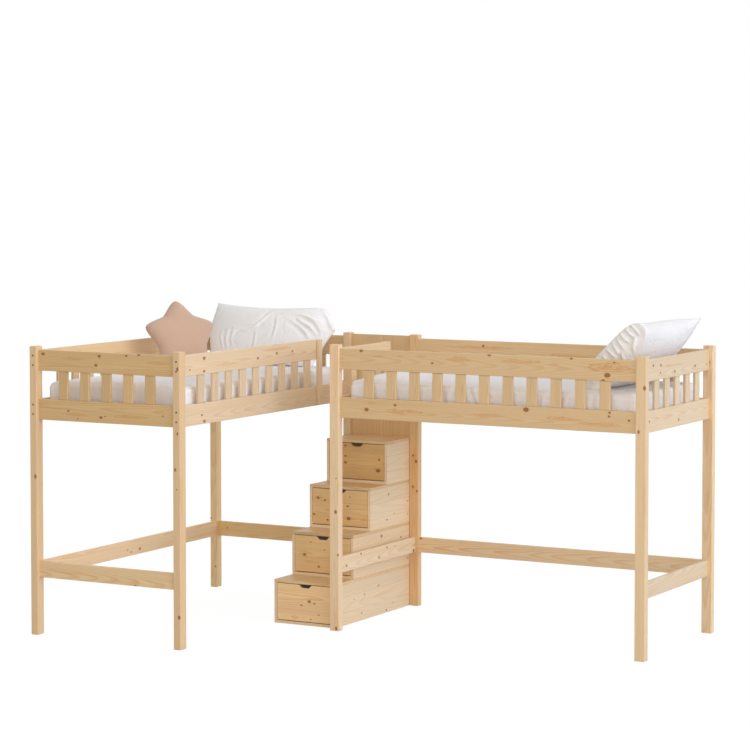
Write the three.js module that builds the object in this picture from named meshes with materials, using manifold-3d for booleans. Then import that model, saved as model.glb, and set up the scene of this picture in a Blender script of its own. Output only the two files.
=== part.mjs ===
// Two timber loft beds at a right angle, joined by a staircase of four drawers.
// Millimetres, +Z up. The origin is on the floor, under the middle of the whole.
import * as THREE from "three";
import { mergeVertices } from "three/addons/utils/BufferGeometryUtils.js";
import Module from "manifold-3d";

const wasm = await Module();
wasm.setup();

const quarter_turn = Math.PI / 2;
const degrees = Math.PI / 180;

// Clearances
const fit_gap = 0.3; // between pieces that seat on each other
const cut_overrun = 5; // how far a cutting tool runs past the face it opens
const weld_distance = 0.001;

// Bed frames, measured outside the posts
const bed_length = 2100;
const bed_width = 1090;
const post_height = 1770;
const post_along = 65; // post section along the bed
const post_across = 50; // post section across the bed
const post_ease = 4;
const post_end_ease = 2.5;
const left_bed_behind = 15; // how far the left bed's far end stands behind the right bed

// Boards between the posts
const board_thick = 22;
const board_height = 127;
const board_ease = 3;
const top_board_drop = 23; // post top to top board
const guard_gap = 172; // open height between top and lower board
const stretcher_height = 100;
const stretcher_lift = 353; // floor to stretcher
const end_board_set = 24; // end boards, behind the posts' outer faces
const side_board_set = 14; // boards of the open side, behind the posts' outer faces

// Guard slats, tenoned into the top boards
const slat_width = 66;
const slat_thick = 18;
const slat_pitch = 157;
const slat_ease = 2.5;
const slat_end_room = 100; // least open width beside a post
const tenon_length = 12;
const tenon_width = 50;
const tenon_thick = 10;

// The ways in from the top step
const left_entry_width = 370;
const right_entry_width = 339;
const cleat_width = 45;
const cleat_thick = 22;
const cleat_lift = 9; // above the lower board's underside

// Bolts through the left bed's posts into the long boards
const bolt_spread = 58; // between a board's two bolts
const bolt_recess_radius = 6;
const bolt_recess_depth = 12;
const bolt_recess_sides = 10;

// Bed base
const ledger_width = 25;
const ledger_height = 40;
const ledger_lift = 19; // above the lower board's underside
const base_slat_width = 70;
const base_slat_thick = 20;
const base_slat_count = 13;
const base_slat_room = 30; // open room before the first and after the last slat
const base_slat_play = 3; // at each end of a slat
const strap_width = 25;
const strap_thick = 2;
const strap_place_share = 0.27; // of the slat's length, from either end

// Mattresses
const mattress_end_gap = 32.5; // to the posts at either end
const mattress_side_gap = 12.5; // to the posts on either side
const mattress_thick = 150;
const mattress_corner = 24;
const mattress_shoulder = 30;
const mattress_crown = 10;
const mattress_crown_reach = 130;
const shoulder_shares = [0, 1 / 3, 2 / 3, 1]; // of the quarter turn round a shoulder
const crown_shares = [1 / 2, 1];

// Staircase of drawers
const stair_width = 444;
const stair_side_gap = 0.5; // to the posts on either side
const step_count = 4;
const step_rise = 275;
const step_going = 220;
const top_step_depth = 330;
const panel_thick = 18;
const panel_ease = 1.2;
const groove_sides = 4;
const box_back_thick = 12;
const stair_back_set = 28; // box backs, behind the front of the right bed's back post
const back_panel_thick = 18;
const back_panel_drop = 10; // below the post tops

// Drawers
const drawer_front_gap = 3; // beside a front
const drawer_top_gap = 4; // over a front
const drawer_foot_gap = 5; // under a front
const drawer_box_gap = 2; // beside a box
const drawer_front_thick = 18;
const drawer_side_thick = 12;
const drawer_side_height = 160;
const drawer_bottom_thick = 6;
const drawer_bottom_lift = 10;
const drawer_length_limit = 500;
const drawer_back_room = 15;
const grip_top_width = 94;
const grip_bottom_width = 58;
const grip_depth = 20;
const grip_corner = 8;

// Filled cases: at a share of the way from the middle to the seam, the share of the full thickness
const pad_reach_shares = [0.3, 0.58, 0.8, 0.94];
const pad_belly_power = 2.6;
const pad_edge_power = 0.62;

// Pillows, leaning on the boards at the beds' far ends
const pillow_side_room = 62.5; // to the mattress's edge, with the pillow in its middle
const pillow_thick = 215;
const pillow_draw = 26; // how far its sides pull in between the corners
const pillow_corner = 26; // how far a corner is rounded off
const pillow_corner_share = 0.18; // of a side, that the rounding takes at either end
const pillow_side_steps = 6;
const left_pillow_height = 465;
const left_pillow_bulge = 155; // how far its end towards the staircase swells out
const left_pillow_tilt_deg = 60;
const left_pillow_turn_deg = 0;
const left_pillow_shift = 64; // off the bed's middle, towards the wall
const right_pillow_height = 570;
const right_pillow_bulge = 0;
const right_pillow_tilt_deg = 44;
const right_pillow_turn_deg = -2;
const right_pillow_shift = 10; // off the bed's middle, towards the wall

// Star cushion, standing on two arms
const star_radius = 256;
const star_waist = 188;
const star_arms = 5;
const star_points_per_arm = 8;
const star_tip_power = 1.25;
const star_thick = 135;
const star_tilt_deg = 70;
const star_turn_deg = 60; // from facing along the bed
const star_from_wall = 294; // centre, from the posts on the wall side
const star_from_end = 1159; // centre, from the near end

// Sizes that follow from the ones above
const bed_spacing = stair_width + 2 * stair_side_gap;
const wall_board_set = post_across - board_thick; // wall boards lie flush with the posts' inner faces
const top_board_z = post_height - top_board_drop - board_height;
const lower_board_z = top_board_z - guard_gap - board_height;
const side_span = bed_length - 2 * post_along;
const end_span = bed_width - 2 * post_across;
const ledger_z = lower_board_z + ledger_lift;
const base_slat_z = ledger_z + ledger_height + fit_gap;
const mattress_length = bed_length - 2 * (post_along + mattress_end_gap);
const mattress_width = bed_width - 2 * (post_across + mattress_side_gap);
const mattress_z = base_slat_z + base_slat_thick + fit_gap;
const mattress_top = mattress_z + mattress_thick;
const pillow_width = mattress_width - 2 * pillow_side_room;
const left_bed_forward = bed_length - bed_width - left_bed_behind;
const overall_width = bed_width + bed_spacing + bed_length;
const overall_middle_x = bed_length - overall_width / 2;
const overall_middle_y = (bed_length - left_bed_forward - left_bed_forward) / 2;
const stair_back_y = bed_width - post_across + stair_back_set;

const pine = new THREE.MeshStandardMaterial({ color: 0xd9b98c, roughness: 0.55, metalness: 0 });
const drawer_pine = new THREE.MeshStandardMaterial({ color: 0xcda672, roughness: 0.6, metalness: 0 });
const ticking = new THREE.MeshStandardMaterial({ color: 0xe4e0dc, roughness: 0.95, metalness: 0 });
const cotton = new THREE.MeshStandardMaterial({ color: 0xf2f1ef, roughness: 0.95, metalness: 0 });
const velour = new THREE.MeshStandardMaterial({ color: 0xd6b29c, roughness: 0.98, metalness: 0 });

// Solids from three.js geometry, and back
function solid(geometry) {
  const bare = geometry.clone();
  bare.deleteAttribute("normal");
  bare.deleteAttribute("uv");
  const merged = mergeVertices(bare, weld_distance);
  return new wasm.Manifold(
    new wasm.Mesh({
      numProp: 3,
      vertProperties: merged.attributes.position.array,
      triVerts: new Uint32Array(merged.index.array),
    }),
  );
}

function geometryOf(shape) {
  const mesh = shape.getMesh();
  const geometry = new THREE.BufferGeometry();
  geometry.setAttribute("position", new THREE.BufferAttribute(mesh.vertProperties, 3));
  geometry.setIndex(new THREE.BufferAttribute(mesh.triVerts, 1));
  const flat = geometry.toNonIndexed();
  flat.computeVertexNormals();
  return flat;
}

const join = (...parts) => geometryOf(parts.map(solid).reduce((whole, part) => whole.add(part)));
const cut = (body, ...tools) =>
  geometryOf(tools.map(solid).reduce((whole, tool) => whole.subtract(tool), solid(body)));

// A rectangle with chamfered corners, from the origin to (width, height)
function chamferedRectangle(width, height, chamfer) {
  const shape = new THREE.Shape();
  shape.moveTo(chamfer, 0);
  shape.lineTo(width - chamfer, 0);
  shape.lineTo(width, chamfer);
  shape.lineTo(width, height - chamfer);
  shape.lineTo(width - chamfer, height);
  shape.lineTo(chamfer, height);
  shape.lineTo(0, height - chamfer);
  shape.lineTo(0, chamfer);
  shape.closePath();
  return shape;
}

// A rectangle with rounded corners, from the origin to (width, height)
function easedRectangle(width, height, ease) {
  const shape = new THREE.Shape();
  shape.absarc(width - ease, ease, ease, -quarter_turn, 0);
  shape.absarc(width - ease, height - ease, ease, 0, quarter_turn);
  shape.absarc(ease, height - ease, ease, quarter_turn, 2 * quarter_turn);
  shape.absarc(ease, ease, ease, 2 * quarter_turn, 3 * quarter_turn);
  return shape;
}

// Timber lying along X from the origin, with its section's width along Y
function lying(length, section) {
  const turn = new THREE.Matrix4().makeBasis(
    new THREE.Vector3(0, 1, 0),
    new THREE.Vector3(0, 0, 1),
    new THREE.Vector3(1, 0, 0),
  );
  return standing(length, section).applyMatrix4(turn);
}

// Timber standing along Z from the origin
function standing(height, section) {
  return new THREE.ExtrudeGeometry(section, { depth: height, bevelEnabled: false, curveSegments: 1 });
}

const boardSection = (height) => easedRectangle(board_thick, height, board_ease);
const panelSection = (width, height) => chamferedRectangle(width, height, panel_ease);

// Closed rings, stacked from the bottom to the top, as one closed body
function loft(rings) {
  const count = rings[0].length;
  const positions = [];
  const index = [];
  rings.forEach((ring) => ring.forEach((p) => positions.push(p.x, p.y, p.z)));
  const middle = (ring) =>
    ring.reduce((sum, p) => sum.add(p), new THREE.Vector3()).divideScalar(ring.length);
  const first = middle(rings[0]);
  const last = middle(rings[rings.length - 1]);
  positions.push(first.x, first.y, first.z, last.x, last.y, last.z);
  const bottom = rings.length * count;
  const top = bottom + 1;
  const top_ring = (rings.length - 1) * count;
  for (let i = 0; i < count; i++) {
    const next = (i + 1) % count;
    index.push(bottom, next, i);
    index.push(top, top_ring + i, top_ring + next);
    for (let k = 0; k < rings.length - 1; k++) {
      const low = k * count;
      const high = low + count;
      index.push(low + i, low + next, high + next, low + i, high + next, high + i);
    }
  }
  const geometry = new THREE.BufferGeometry();
  geometry.setAttribute("position", new THREE.Float32BufferAttribute(positions, 3));
  geometry.setIndex(index);
  const flat = geometry.toNonIndexed();
  flat.computeVertexNormals();
  return flat;
}

function add(parent, name, geometry, material, x = 0, y = 0, z = 0) {
  const mesh = new THREE.Mesh(geometry, material);
  mesh.name = name;
  mesh.position.set(x, y, z);
  parent.add(mesh);
  return mesh;
}

function group(parent, x, y, z, turn = 0) {
  const placed = new THREE.Group();
  placed.position.set(x, y, z);
  placed.rotation.z = turn;
  parent.add(placed);
  return placed;
}

// A post. bolt_face is -1 or 1 for the end face that takes the bolts, 0 for none.
function postGeometry(bolt_face) {
  const section = easedRectangle(post_along, post_across, post_ease);
  const post = new THREE.ExtrudeGeometry(section, {
    depth: post_height - 2 * post_end_ease,
    bevelEnabled: true,
    bevelThickness: post_end_ease,
    bevelSize: post_end_ease,
    bevelOffset: -post_end_ease,
    bevelSegments: 1,
    curveSegments: 1,
  });
  post.translate(0, 0, post_end_ease);
  if (bolt_face === 0) return post;
  const recess_length = bolt_recess_depth + cut_overrun;
  const face_x = bolt_face > 0 ? post_along : 0;
  const recess_x = face_x + (bolt_face * (cut_overrun - bolt_recess_depth)) / 2;
  const heights = [top_board_z, lower_board_z].flatMap((z) => {
    const middle = z + board_height / 2;
    return [middle - bolt_spread / 2, middle + bolt_spread / 2];
  });
  const radius = bolt_recess_radius;
  const recesses = heights.map((z) =>
    new THREE.CylinderGeometry(radius, radius, recess_length, bolt_recess_sides)
      .rotateZ(quarter_turn)
      .translate(recess_x, post_across / 2, z),
  );
  return cut(post, ...recesses);
}

// Where the slats of a run stand, and which of them a shorter guard keeps
function slatPlaces(span, guard_length) {
  const count = Math.max(1, Math.floor((span - slat_width - 2 * slat_end_room) / slat_pitch) + 1);
  const margin = (span - slat_width - (count - 1) * slat_pitch) / 2;
  const last_end = guard_length < span ? guard_length - cleat_width - fit_gap : span;
  return Array.from({ length: count }, (_, i) => margin + i * slat_pitch).filter(
    (place) => place + slat_width <= last_end,
  );
}

// The lower board with its slats glued in; their upper tenons stand free
function guardGeometry(span, places) {
  const slat_y = (board_thick - slat_thick) / 2;
  const slat_section = chamferedRectangle(slat_width, slat_thick, slat_ease);
  const slat_z = board_height - tenon_length;
  const shoulder_z = board_height + guard_gap - fit_gap;
  const slats = places.flatMap((place) => [
    standing(shoulder_z - slat_z, slat_section).translate(place, slat_y, slat_z),
    new THREE.BoxGeometry(tenon_width, tenon_thick, 2 * (tenon_length - fit_gap)).translate(
      place + slat_width / 2,
      board_thick / 2,
      shoulder_z,
    ),
  ]);
  const board = lying(span - 2 * fit_gap, boardSection(board_height)).translate(fit_gap, 0, 0);
  return join(board, ...slats);
}

// The top board, mortised on its underside for the slats' tenons
function topBoardGeometry(length, places) {
  const mortise_width = tenon_width + 2 * fit_gap;
  const mortise_thick = tenon_thick + 2 * fit_gap;
  const mortises = places.map((place) =>
    new THREE.BoxGeometry(mortise_width, mortise_thick, 2 * tenon_length).translate(
      place + slat_width / 2,
      board_thick / 2,
      0,
    ),
  );
  const board = lying(length - 2 * fit_gap, boardSection(board_height)).translate(fit_gap, 0, 0);
  return cut(board, ...mortises);
}

// One side of a bed, from post to post along X, its outer face at y = 0
function addRun(parent, name, span, { stretcher = false, entry = 0, entry_first = false } = {}) {
  const guard_length = span - entry;
  const kept = slatPlaces(span, guard_length);
  const places = entry_first ? kept.map((place) => span - place - slat_width) : kept;
  add(parent, `${name}_lower_guard`, guardGeometry(span, places), pine, 0, 0, lower_board_z);
  const top_x = entry_first ? entry : 0;
  const shifted = places.map((place) => place - top_x);
  add(parent, `${name}_top_board`, topBoardGeometry(guard_length, shifted), pine, top_x, 0, top_board_z);
  if (stretcher) {
    const bar = lying(span - 2 * fit_gap, boardSection(stretcher_height));
    add(parent, `${name}_stretcher`, bar, pine, fit_gap, 0, stretcher_lift);
  }
  if (entry > 0) {
    const cleat_x = entry_first ? entry + fit_gap : guard_length - cleat_width - fit_gap;
    const cleat_z = lower_board_z + cleat_lift;
    const cleat_height = top_board_z + board_height - cleat_z;
    const cleat = standing(cleat_height, easedRectangle(cleat_width, cleat_thick, board_ease));
    add(parent, `${name}_cleat`, cleat, pine, cleat_x, -cleat_thick - fit_gap, cleat_z);
  }
}

// A bed along X from the origin. Its open side is at y = 0 and its wall side at y = bed_width.
function addBed(parent, name, { bolted, near_end, open_side, far_end, wall_side }) {
  const corners = {
    near_open: [0, 0],
    far_open: [bed_length - post_along, 0],
    near_wall: [0, bed_width - post_across],
    far_wall: [bed_length - post_along, bed_width - post_across],
  };
  for (const [corner, [x, y]] of Object.entries(corners)) {
    const bolt_face = corner.startsWith("far") ? 1 : -1;
    add(parent, `${name}_post_${corner}`, postGeometry(bolted ? bolt_face : 0), pine, x, y, 0);
  }
  const far_x = bed_length - end_board_set;
  const wall_y = bed_width - wall_board_set;
  const back_x = bed_length - post_along;
  const back_y = bed_width - post_across;
  const runs = [
    ["open_side", side_span, open_side, group(parent, post_along, side_board_set, 0)],
    ["far_end", end_span, far_end, group(parent, far_x, post_across, 0, quarter_turn)],
    ["wall_side", side_span, wall_side, group(parent, back_x, wall_y, 0, 2 * quarter_turn)],
    ["near_end", end_span, near_end, group(parent, end_board_set, back_y, 0, -quarter_turn)],
  ];
  for (const [side, span, options, place] of runs) addRun(place, `${name}_${side}`, span, options);
  addBase(parent, name);
  const mattress_x = (bed_length - mattress_length) / 2;
  const mattress_y = (bed_width - mattress_width) / 2;
  add(parent, `${name}_mattress`, mattressGeometry(), ticking, mattress_x, mattress_y, mattress_z);
}

// Ledgers along the long sides, and a roll of slats tied by two straps
function addBase(parent, name) {
  const inner_open = side_board_set + board_thick + fit_gap;
  const inner_wall = bed_width - wall_board_set - board_thick - fit_gap;
  const ledger_section = chamferedRectangle(ledger_width, ledger_height, slat_ease);
  const ledger = () => lying(side_span - 2 * fit_gap, ledger_section);
  const ledger_x = post_along + fit_gap;
  add(parent, `${name}_open_ledger`, ledger(), pine, ledger_x, inner_open, ledger_z);
  add(parent, `${name}_wall_ledger`, ledger(), pine, ledger_x, inner_wall - ledger_width, ledger_z);

  const slat_length = inner_wall - inner_open - 2 * base_slat_play;
  const first = post_along + base_slat_room;
  const pitch = (side_span - 2 * base_slat_room - base_slat_width) / (base_slat_count - 1);
  const slats = Array.from({ length: base_slat_count }, (_, i) =>
    new THREE.BoxGeometry(base_slat_width, slat_length, base_slat_thick).translate(
      first + i * pitch + base_slat_width / 2,
      slat_length / 2,
      base_slat_thick / 2,
    ),
  );
  const strap_length = (base_slat_count - 1) * pitch + base_slat_width / 2;
  const straps = [strap_place_share, 1 - strap_place_share].map((share) =>
    new THREE.BoxGeometry(strap_length, strap_width, strap_thick).translate(
      bed_length / 2,
      share * slat_length,
      0,
    ),
  );
  const roll = join(...slats, ...straps);
  add(parent, `${name}_slat_roll`, roll, pine, 0, inner_open + base_slat_play, base_slat_z);
}

// A mattress: eased shoulders, and a top that rises a little away from its edges
function mattressGeometry() {
  const ring = (inset, z) => {
    const corner = Math.max(mattress_corner - inset, mattress_shoulder / 2);
    const outline = easedRectangle(mattress_length - 2 * inset, mattress_width - 2 * inset, corner);
    const points = outline.getPoints(2).slice(0, -1);
    return points.map((p) => new THREE.Vector3(p.x + inset, p.y + inset, z));
  };
  const inset = (share) => mattress_shoulder * (1 - Math.sin(share * quarter_turn));
  const rise = (share) => mattress_shoulder * (1 - Math.cos(share * quarter_turn));
  const edge_top = mattress_thick - mattress_crown;
  const lower = shoulder_shares.map((share) => ring(inset(share), rise(share)));
  const upper = shoulder_shares.map((share) => ring(inset(share), edge_top - rise(share))).reverse();
  const crown = crown_shares.map((share) => {
    const height = edge_top + mattress_crown * Math.sin(share * quarter_turn);
    return ring(mattress_shoulder + share * mattress_crown_reach, height);
  });
  return loft([...lower, ...upper, ...crown]);
}

// A filled case lying flat, swelling from the seam that its outline gives
function padGeometry(outline, thick) {
  const ring = (share, side) => {
    const belly = Math.pow(1 - Math.pow(share, pad_belly_power), pad_edge_power);
    return outline.map((p) => new THREE.Vector3(p.x * share, p.y * share, (side * belly * thick) / 2));
  };
  const under = pad_reach_shares.map((share) => ring(share, -1));
  const over = pad_reach_shares.map((share) => ring(share, 1)).reverse();
  return loft([...under, ring(1, 0), ...over]);
}

// A pillow's seam: four rounded corners with the sides pulled in between them, and a bulge of one end
function pillowOutline(height, bulge) {
  const corners = [
    [1, -1],
    [1, 1],
    [-1, 1],
    [-1, -1],
  ];
  const half = new THREE.Vector2(pillow_width / 2, height / 2);
  return corners.flatMap(([cx, cy], k) => {
    const [nx, ny] = corners[(k + 1) % corners.length];
    return Array.from({ length: pillow_side_steps }, (_, i) => {
      const share = i / pillow_side_steps;
      const x = cx + (nx - cx) * share;
      const y = cy + (ny - cy) * share;
      const draw = pillow_draw * Math.sin(share * Math.PI);
      const nip = pillow_corner * Math.max(0, 1 - Math.min(share, 1 - share) / pillow_corner_share);
      const pull = draw + nip / Math.SQRT2;
      const along_x = cx === nx ? pull : nip / Math.SQRT2;
      const along_y = cy === ny ? pull : nip / Math.SQRT2;
      const swell = cx > 0 && nx > 0 ? bulge * Math.sin(share * Math.PI) : 0;
      const seam_x = x * half.x - Math.sign(x) * along_x + swell;
      return new THREE.Vector2(seam_x, y * half.y - Math.sign(y) * along_y);
    });
  });
}

// A five-armed star with round tips, one arm up
function starOutline() {
  const count = star_arms * star_points_per_arm;
  return Array.from({ length: count }, (_, i) => {
    const angle = (i / count) * 2 * Math.PI;
    const wave = (1 + Math.cos(star_arms * angle)) / 2;
    const radius = star_waist + (star_radius - star_waist) * Math.pow(wave, star_tip_power);
    return new THREE.Vector2(-radius * Math.sin(angle), radius * Math.cos(angle));
  });
}

// Tilts a pad up from lying flat, turns it, and brings its lowest point to the origin's height
function tiltedPad(pad, tilt_deg, turn_deg) {
  const tilted = pad.clone().rotateX(tilt_deg * degrees);
  tilted.rotateZ(turn_deg * degrees - quarter_turn);
  tilted.computeBoundingBox();
  return tilted.translate(0, 0, -tilted.boundingBox.min.z);
}

// A pillow on the mattress, leaning on the board at the bed's far end
function addPillow(bed, name, { height, bulge, tilt_deg, turn_deg, shift }) {
  const pillow = tiltedPad(padGeometry(pillowOutline(height, bulge), pillow_thick), tilt_deg, turn_deg);
  pillow.computeBoundingBox();
  const board_x = bed_length - end_board_set - board_thick;
  const x = board_x - fit_gap - pillow.boundingBox.max.x;
  add(bed, name, pillow, cotton, x, bed_width / 2 + shift, mattress_top + fit_gap);
}

// Staircase: boxes with a drawer each, stacked back to back against one upright panel
function addStair(parent) {
  for (let n = 1; n <= step_count; n++) {
    const depth = top_step_depth + (step_count - n) * step_going;
    const front_y = stair_back_y - fit_gap - depth;
    const base_z = (n - 1) * step_rise + (n > 1 ? fit_gap : 0);
    const top_z = n * step_rise;
    const step = group(parent, stair_side_gap - bed_spacing, front_y, 0);
    add(step, `stair_tread_${n}`, stairBoard(depth, stair_width), pine, 0, 0, top_z - panel_thick);
    const box_height = top_z - panel_thick - fit_gap - base_z;
    add(step, `stair_box_${n}`, stairBoxGeometry(depth, box_height), pine, 0, 0, base_z);
    addDrawer(step, n, depth, base_z + panel_thick, top_z - panel_thick);
  }
  const panel = standing(post_height - back_panel_drop, panelSection(stair_width, back_panel_thick));
  add(parent, "stair_back_panel", panel, pine, stair_side_gap - bed_spacing, stair_back_y, 0);
}

// A level board, its grain running back to front
function stairBoard(depth, width) {
  return lying(depth, panelSection(width, panel_thick))
    .rotateZ(quarter_turn)
    .translate(width, 0, 0);
}

// Bottom, sides and back of one box, with a groove where the sides stand on the bottom
function stairBoxGeometry(depth, height) {
  const block = lying(depth, panelSection(stair_width, height))
    .rotateZ(quarter_turn)
    .translate(stair_width, 0, 0);
  const room_depth = depth - box_back_thick + cut_overrun;
  const room_height = height - panel_thick + cut_overrun;
  const room = new THREE.BoxGeometry(stair_width - 2 * panel_thick, room_depth, room_height).translate(
    stair_width / 2,
    room_depth / 2 - cut_overrun,
    panel_thick + room_height / 2,
  );
  const groove_length = depth + 2 * cut_overrun;
  const groove = (x) =>
    new THREE.CylinderGeometry(panel_ease, panel_ease, groove_length, groove_sides).translate(
      x,
      depth / 2,
      panel_thick,
    );
  return cut(block, room, groove(0), groove(stair_width));
}

// The grip cut-out in a drawer front's top edge, as a tool that runs right through
function gripGeometry(width, height) {
  const grip = new THREE.Shape();
  const slope = (grip_top_width - grip_bottom_width) / 2 / grip_depth;
  const top = height + cut_overrun;
  const half_top = grip_top_width / 2 + slope * cut_overrun;
  const half_bottom = grip_bottom_width / 2;
  const middle = width / 2;
  const floor = height - grip_depth;
  grip.moveTo(middle - half_top, top);
  grip.lineTo(middle - half_bottom - slope * grip_corner, floor + grip_corner);
  grip.quadraticCurveTo(middle - half_bottom, floor, middle - half_bottom + grip_corner, floor);
  grip.lineTo(middle + half_bottom - grip_corner, floor);
  const right_end = middle + half_bottom;
  grip.quadraticCurveTo(right_end, floor, right_end + slope * grip_corner, floor + grip_corner);
  grip.lineTo(middle + half_top, top);
  grip.closePath();
  const tool = new THREE.ExtrudeGeometry(grip, {
    depth: drawer_front_thick + 2 * cut_overrun,
    bevelEnabled: false,
    curveSegments: 3,
  });
  return tool.rotateX(quarter_turn).translate(0, drawer_front_thick + cut_overrun, 0);
}

function addDrawer(parent, n, depth, floor_z, ceiling_z) {
  const front_width = stair_width - 2 * panel_thick - 2 * drawer_front_gap;
  const front_height = ceiling_z - floor_z - drawer_top_gap - drawer_foot_gap;
  const front_x = panel_thick + drawer_front_gap;
  const front = cut(
    lying(front_width, panelSection(drawer_front_thick, front_height)),
    gripGeometry(front_width, front_height),
  );
  add(parent, `drawer_front_${n}`, front, drawer_pine, front_x, 0, floor_z + drawer_foot_gap);

  const room = depth - drawer_front_thick - box_back_thick - drawer_back_room;
  const length = Math.min(drawer_length_limit, room);
  const thick = drawer_side_thick;
  const tall = drawer_side_height;
  const box_width = stair_width - 2 * panel_thick - 2 * drawer_box_gap;
  const inner_width = box_width - 2 * thick;
  const board = (width, long, high, px, py, pz) =>
    new THREE.BoxGeometry(width, long, high).translate(px + width / 2, py + long / 2, pz + high / 2);
  const space = (low, high) =>
    board(inner_width, length - thick + cut_overrun, high - low, thick, -cut_overrun, low);
  const box = cut(
    board(box_width, length, tall, 0, 0, 0),
    space(drawer_bottom_lift + drawer_bottom_thick, tall + cut_overrun),
    space(-cut_overrun, drawer_bottom_lift),
  );
  const box_x = panel_thick + drawer_box_gap;
  const seat_z = floor_z + fit_gap;
  add(parent, `drawer_box_${n}`, box, drawer_pine, box_x, drawer_front_thick + fit_gap, seat_z);
}

// The whole, first with the right bed's front stair-side corner at the origin
const loft_beds = new THREE.Group();
const whole = group(loft_beds, -overall_middle_x, -overall_middle_y, 0);
const right_bed = group(whole, 0, 0, 0);
const left_bed = group(whole, -bed_spacing, -left_bed_forward, 0, Math.PI / 2);

addBed(right_bed, "right", {
  bolted: false,
  near_end: { stretcher: true, entry: right_entry_width, entry_first: true },
  open_side: {},
  far_end: { stretcher: true },
  wall_side: { stretcher: true },
});
addBed(left_bed, "left", {
  bolted: true,
  near_end: { stretcher: true },
  open_side: { entry: left_entry_width },
  far_end: { stretcher: true },
  wall_side: { stretcher: true },
});
addStair(whole);

addPillow(right_bed, "right_pillow", {
  height: right_pillow_height,
  bulge: right_pillow_bulge,
  tilt_deg: right_pillow_tilt_deg,
  turn_deg: right_pillow_turn_deg,
  shift: right_pillow_shift,
});
addPillow(left_bed, "left_pillow", {
  height: left_pillow_height,
  bulge: left_pillow_bulge,
  tilt_deg: left_pillow_tilt_deg,
  turn_deg: left_pillow_turn_deg,
  shift: left_pillow_shift,
});
const star = tiltedPad(padGeometry(starOutline(), star_thick), star_tilt_deg, star_turn_deg);
const star_y = bed_width - post_across - star_from_wall;
add(left_bed, "star_cushion", star, velour, star_from_end, star_y, mattress_top + fit_gap);

export default loft_beds;
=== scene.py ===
"""Looks for two pine loft beds at a right angle, with a staircase of drawers between them."""

import math
import random

import bmesh
import bpy
from bpy.props import FloatProperty, FloatVectorProperty, PointerProperty
from mathutils import Matrix, Vector, noise


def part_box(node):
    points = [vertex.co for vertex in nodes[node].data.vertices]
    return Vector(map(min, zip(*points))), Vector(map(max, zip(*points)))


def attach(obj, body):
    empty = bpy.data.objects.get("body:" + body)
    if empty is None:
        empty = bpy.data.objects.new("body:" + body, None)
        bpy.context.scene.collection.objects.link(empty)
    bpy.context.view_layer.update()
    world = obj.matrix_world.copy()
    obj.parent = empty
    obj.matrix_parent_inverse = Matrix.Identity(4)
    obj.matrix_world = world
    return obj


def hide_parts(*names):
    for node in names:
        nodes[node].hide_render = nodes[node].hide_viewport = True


bl_info = {
    "name": "Loft bed dressing",
    "version": (1, 0, 0),
    "blender": (4, 5, 0),
    "location": "View3D > Sidebar > Loft bed",
    "description": "Pine, bedding and fittings for a pair of loft beds with drawer steps",
    "category": "Object",
}

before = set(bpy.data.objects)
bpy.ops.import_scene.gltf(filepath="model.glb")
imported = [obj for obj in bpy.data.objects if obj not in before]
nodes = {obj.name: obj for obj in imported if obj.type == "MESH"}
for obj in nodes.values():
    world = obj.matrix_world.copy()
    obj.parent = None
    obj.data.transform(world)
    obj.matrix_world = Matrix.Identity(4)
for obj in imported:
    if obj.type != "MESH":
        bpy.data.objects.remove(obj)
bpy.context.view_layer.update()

MM = 0.001
X_AXIS = Vector((1, 0, 0))
Y_AXIS = Vector((0, 1, 0))
Z_AXIS = Vector((0, 0, 1))

# Sizes of the timber that a box of its own doesn't give, in millimetres
BOARD_HEIGHT = 127
SLAT_PITCH = 157
SLAT_BODY_LENGTH = 196
SLAT_FREE = 172  # how much of a slat shows between its boards

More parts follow.
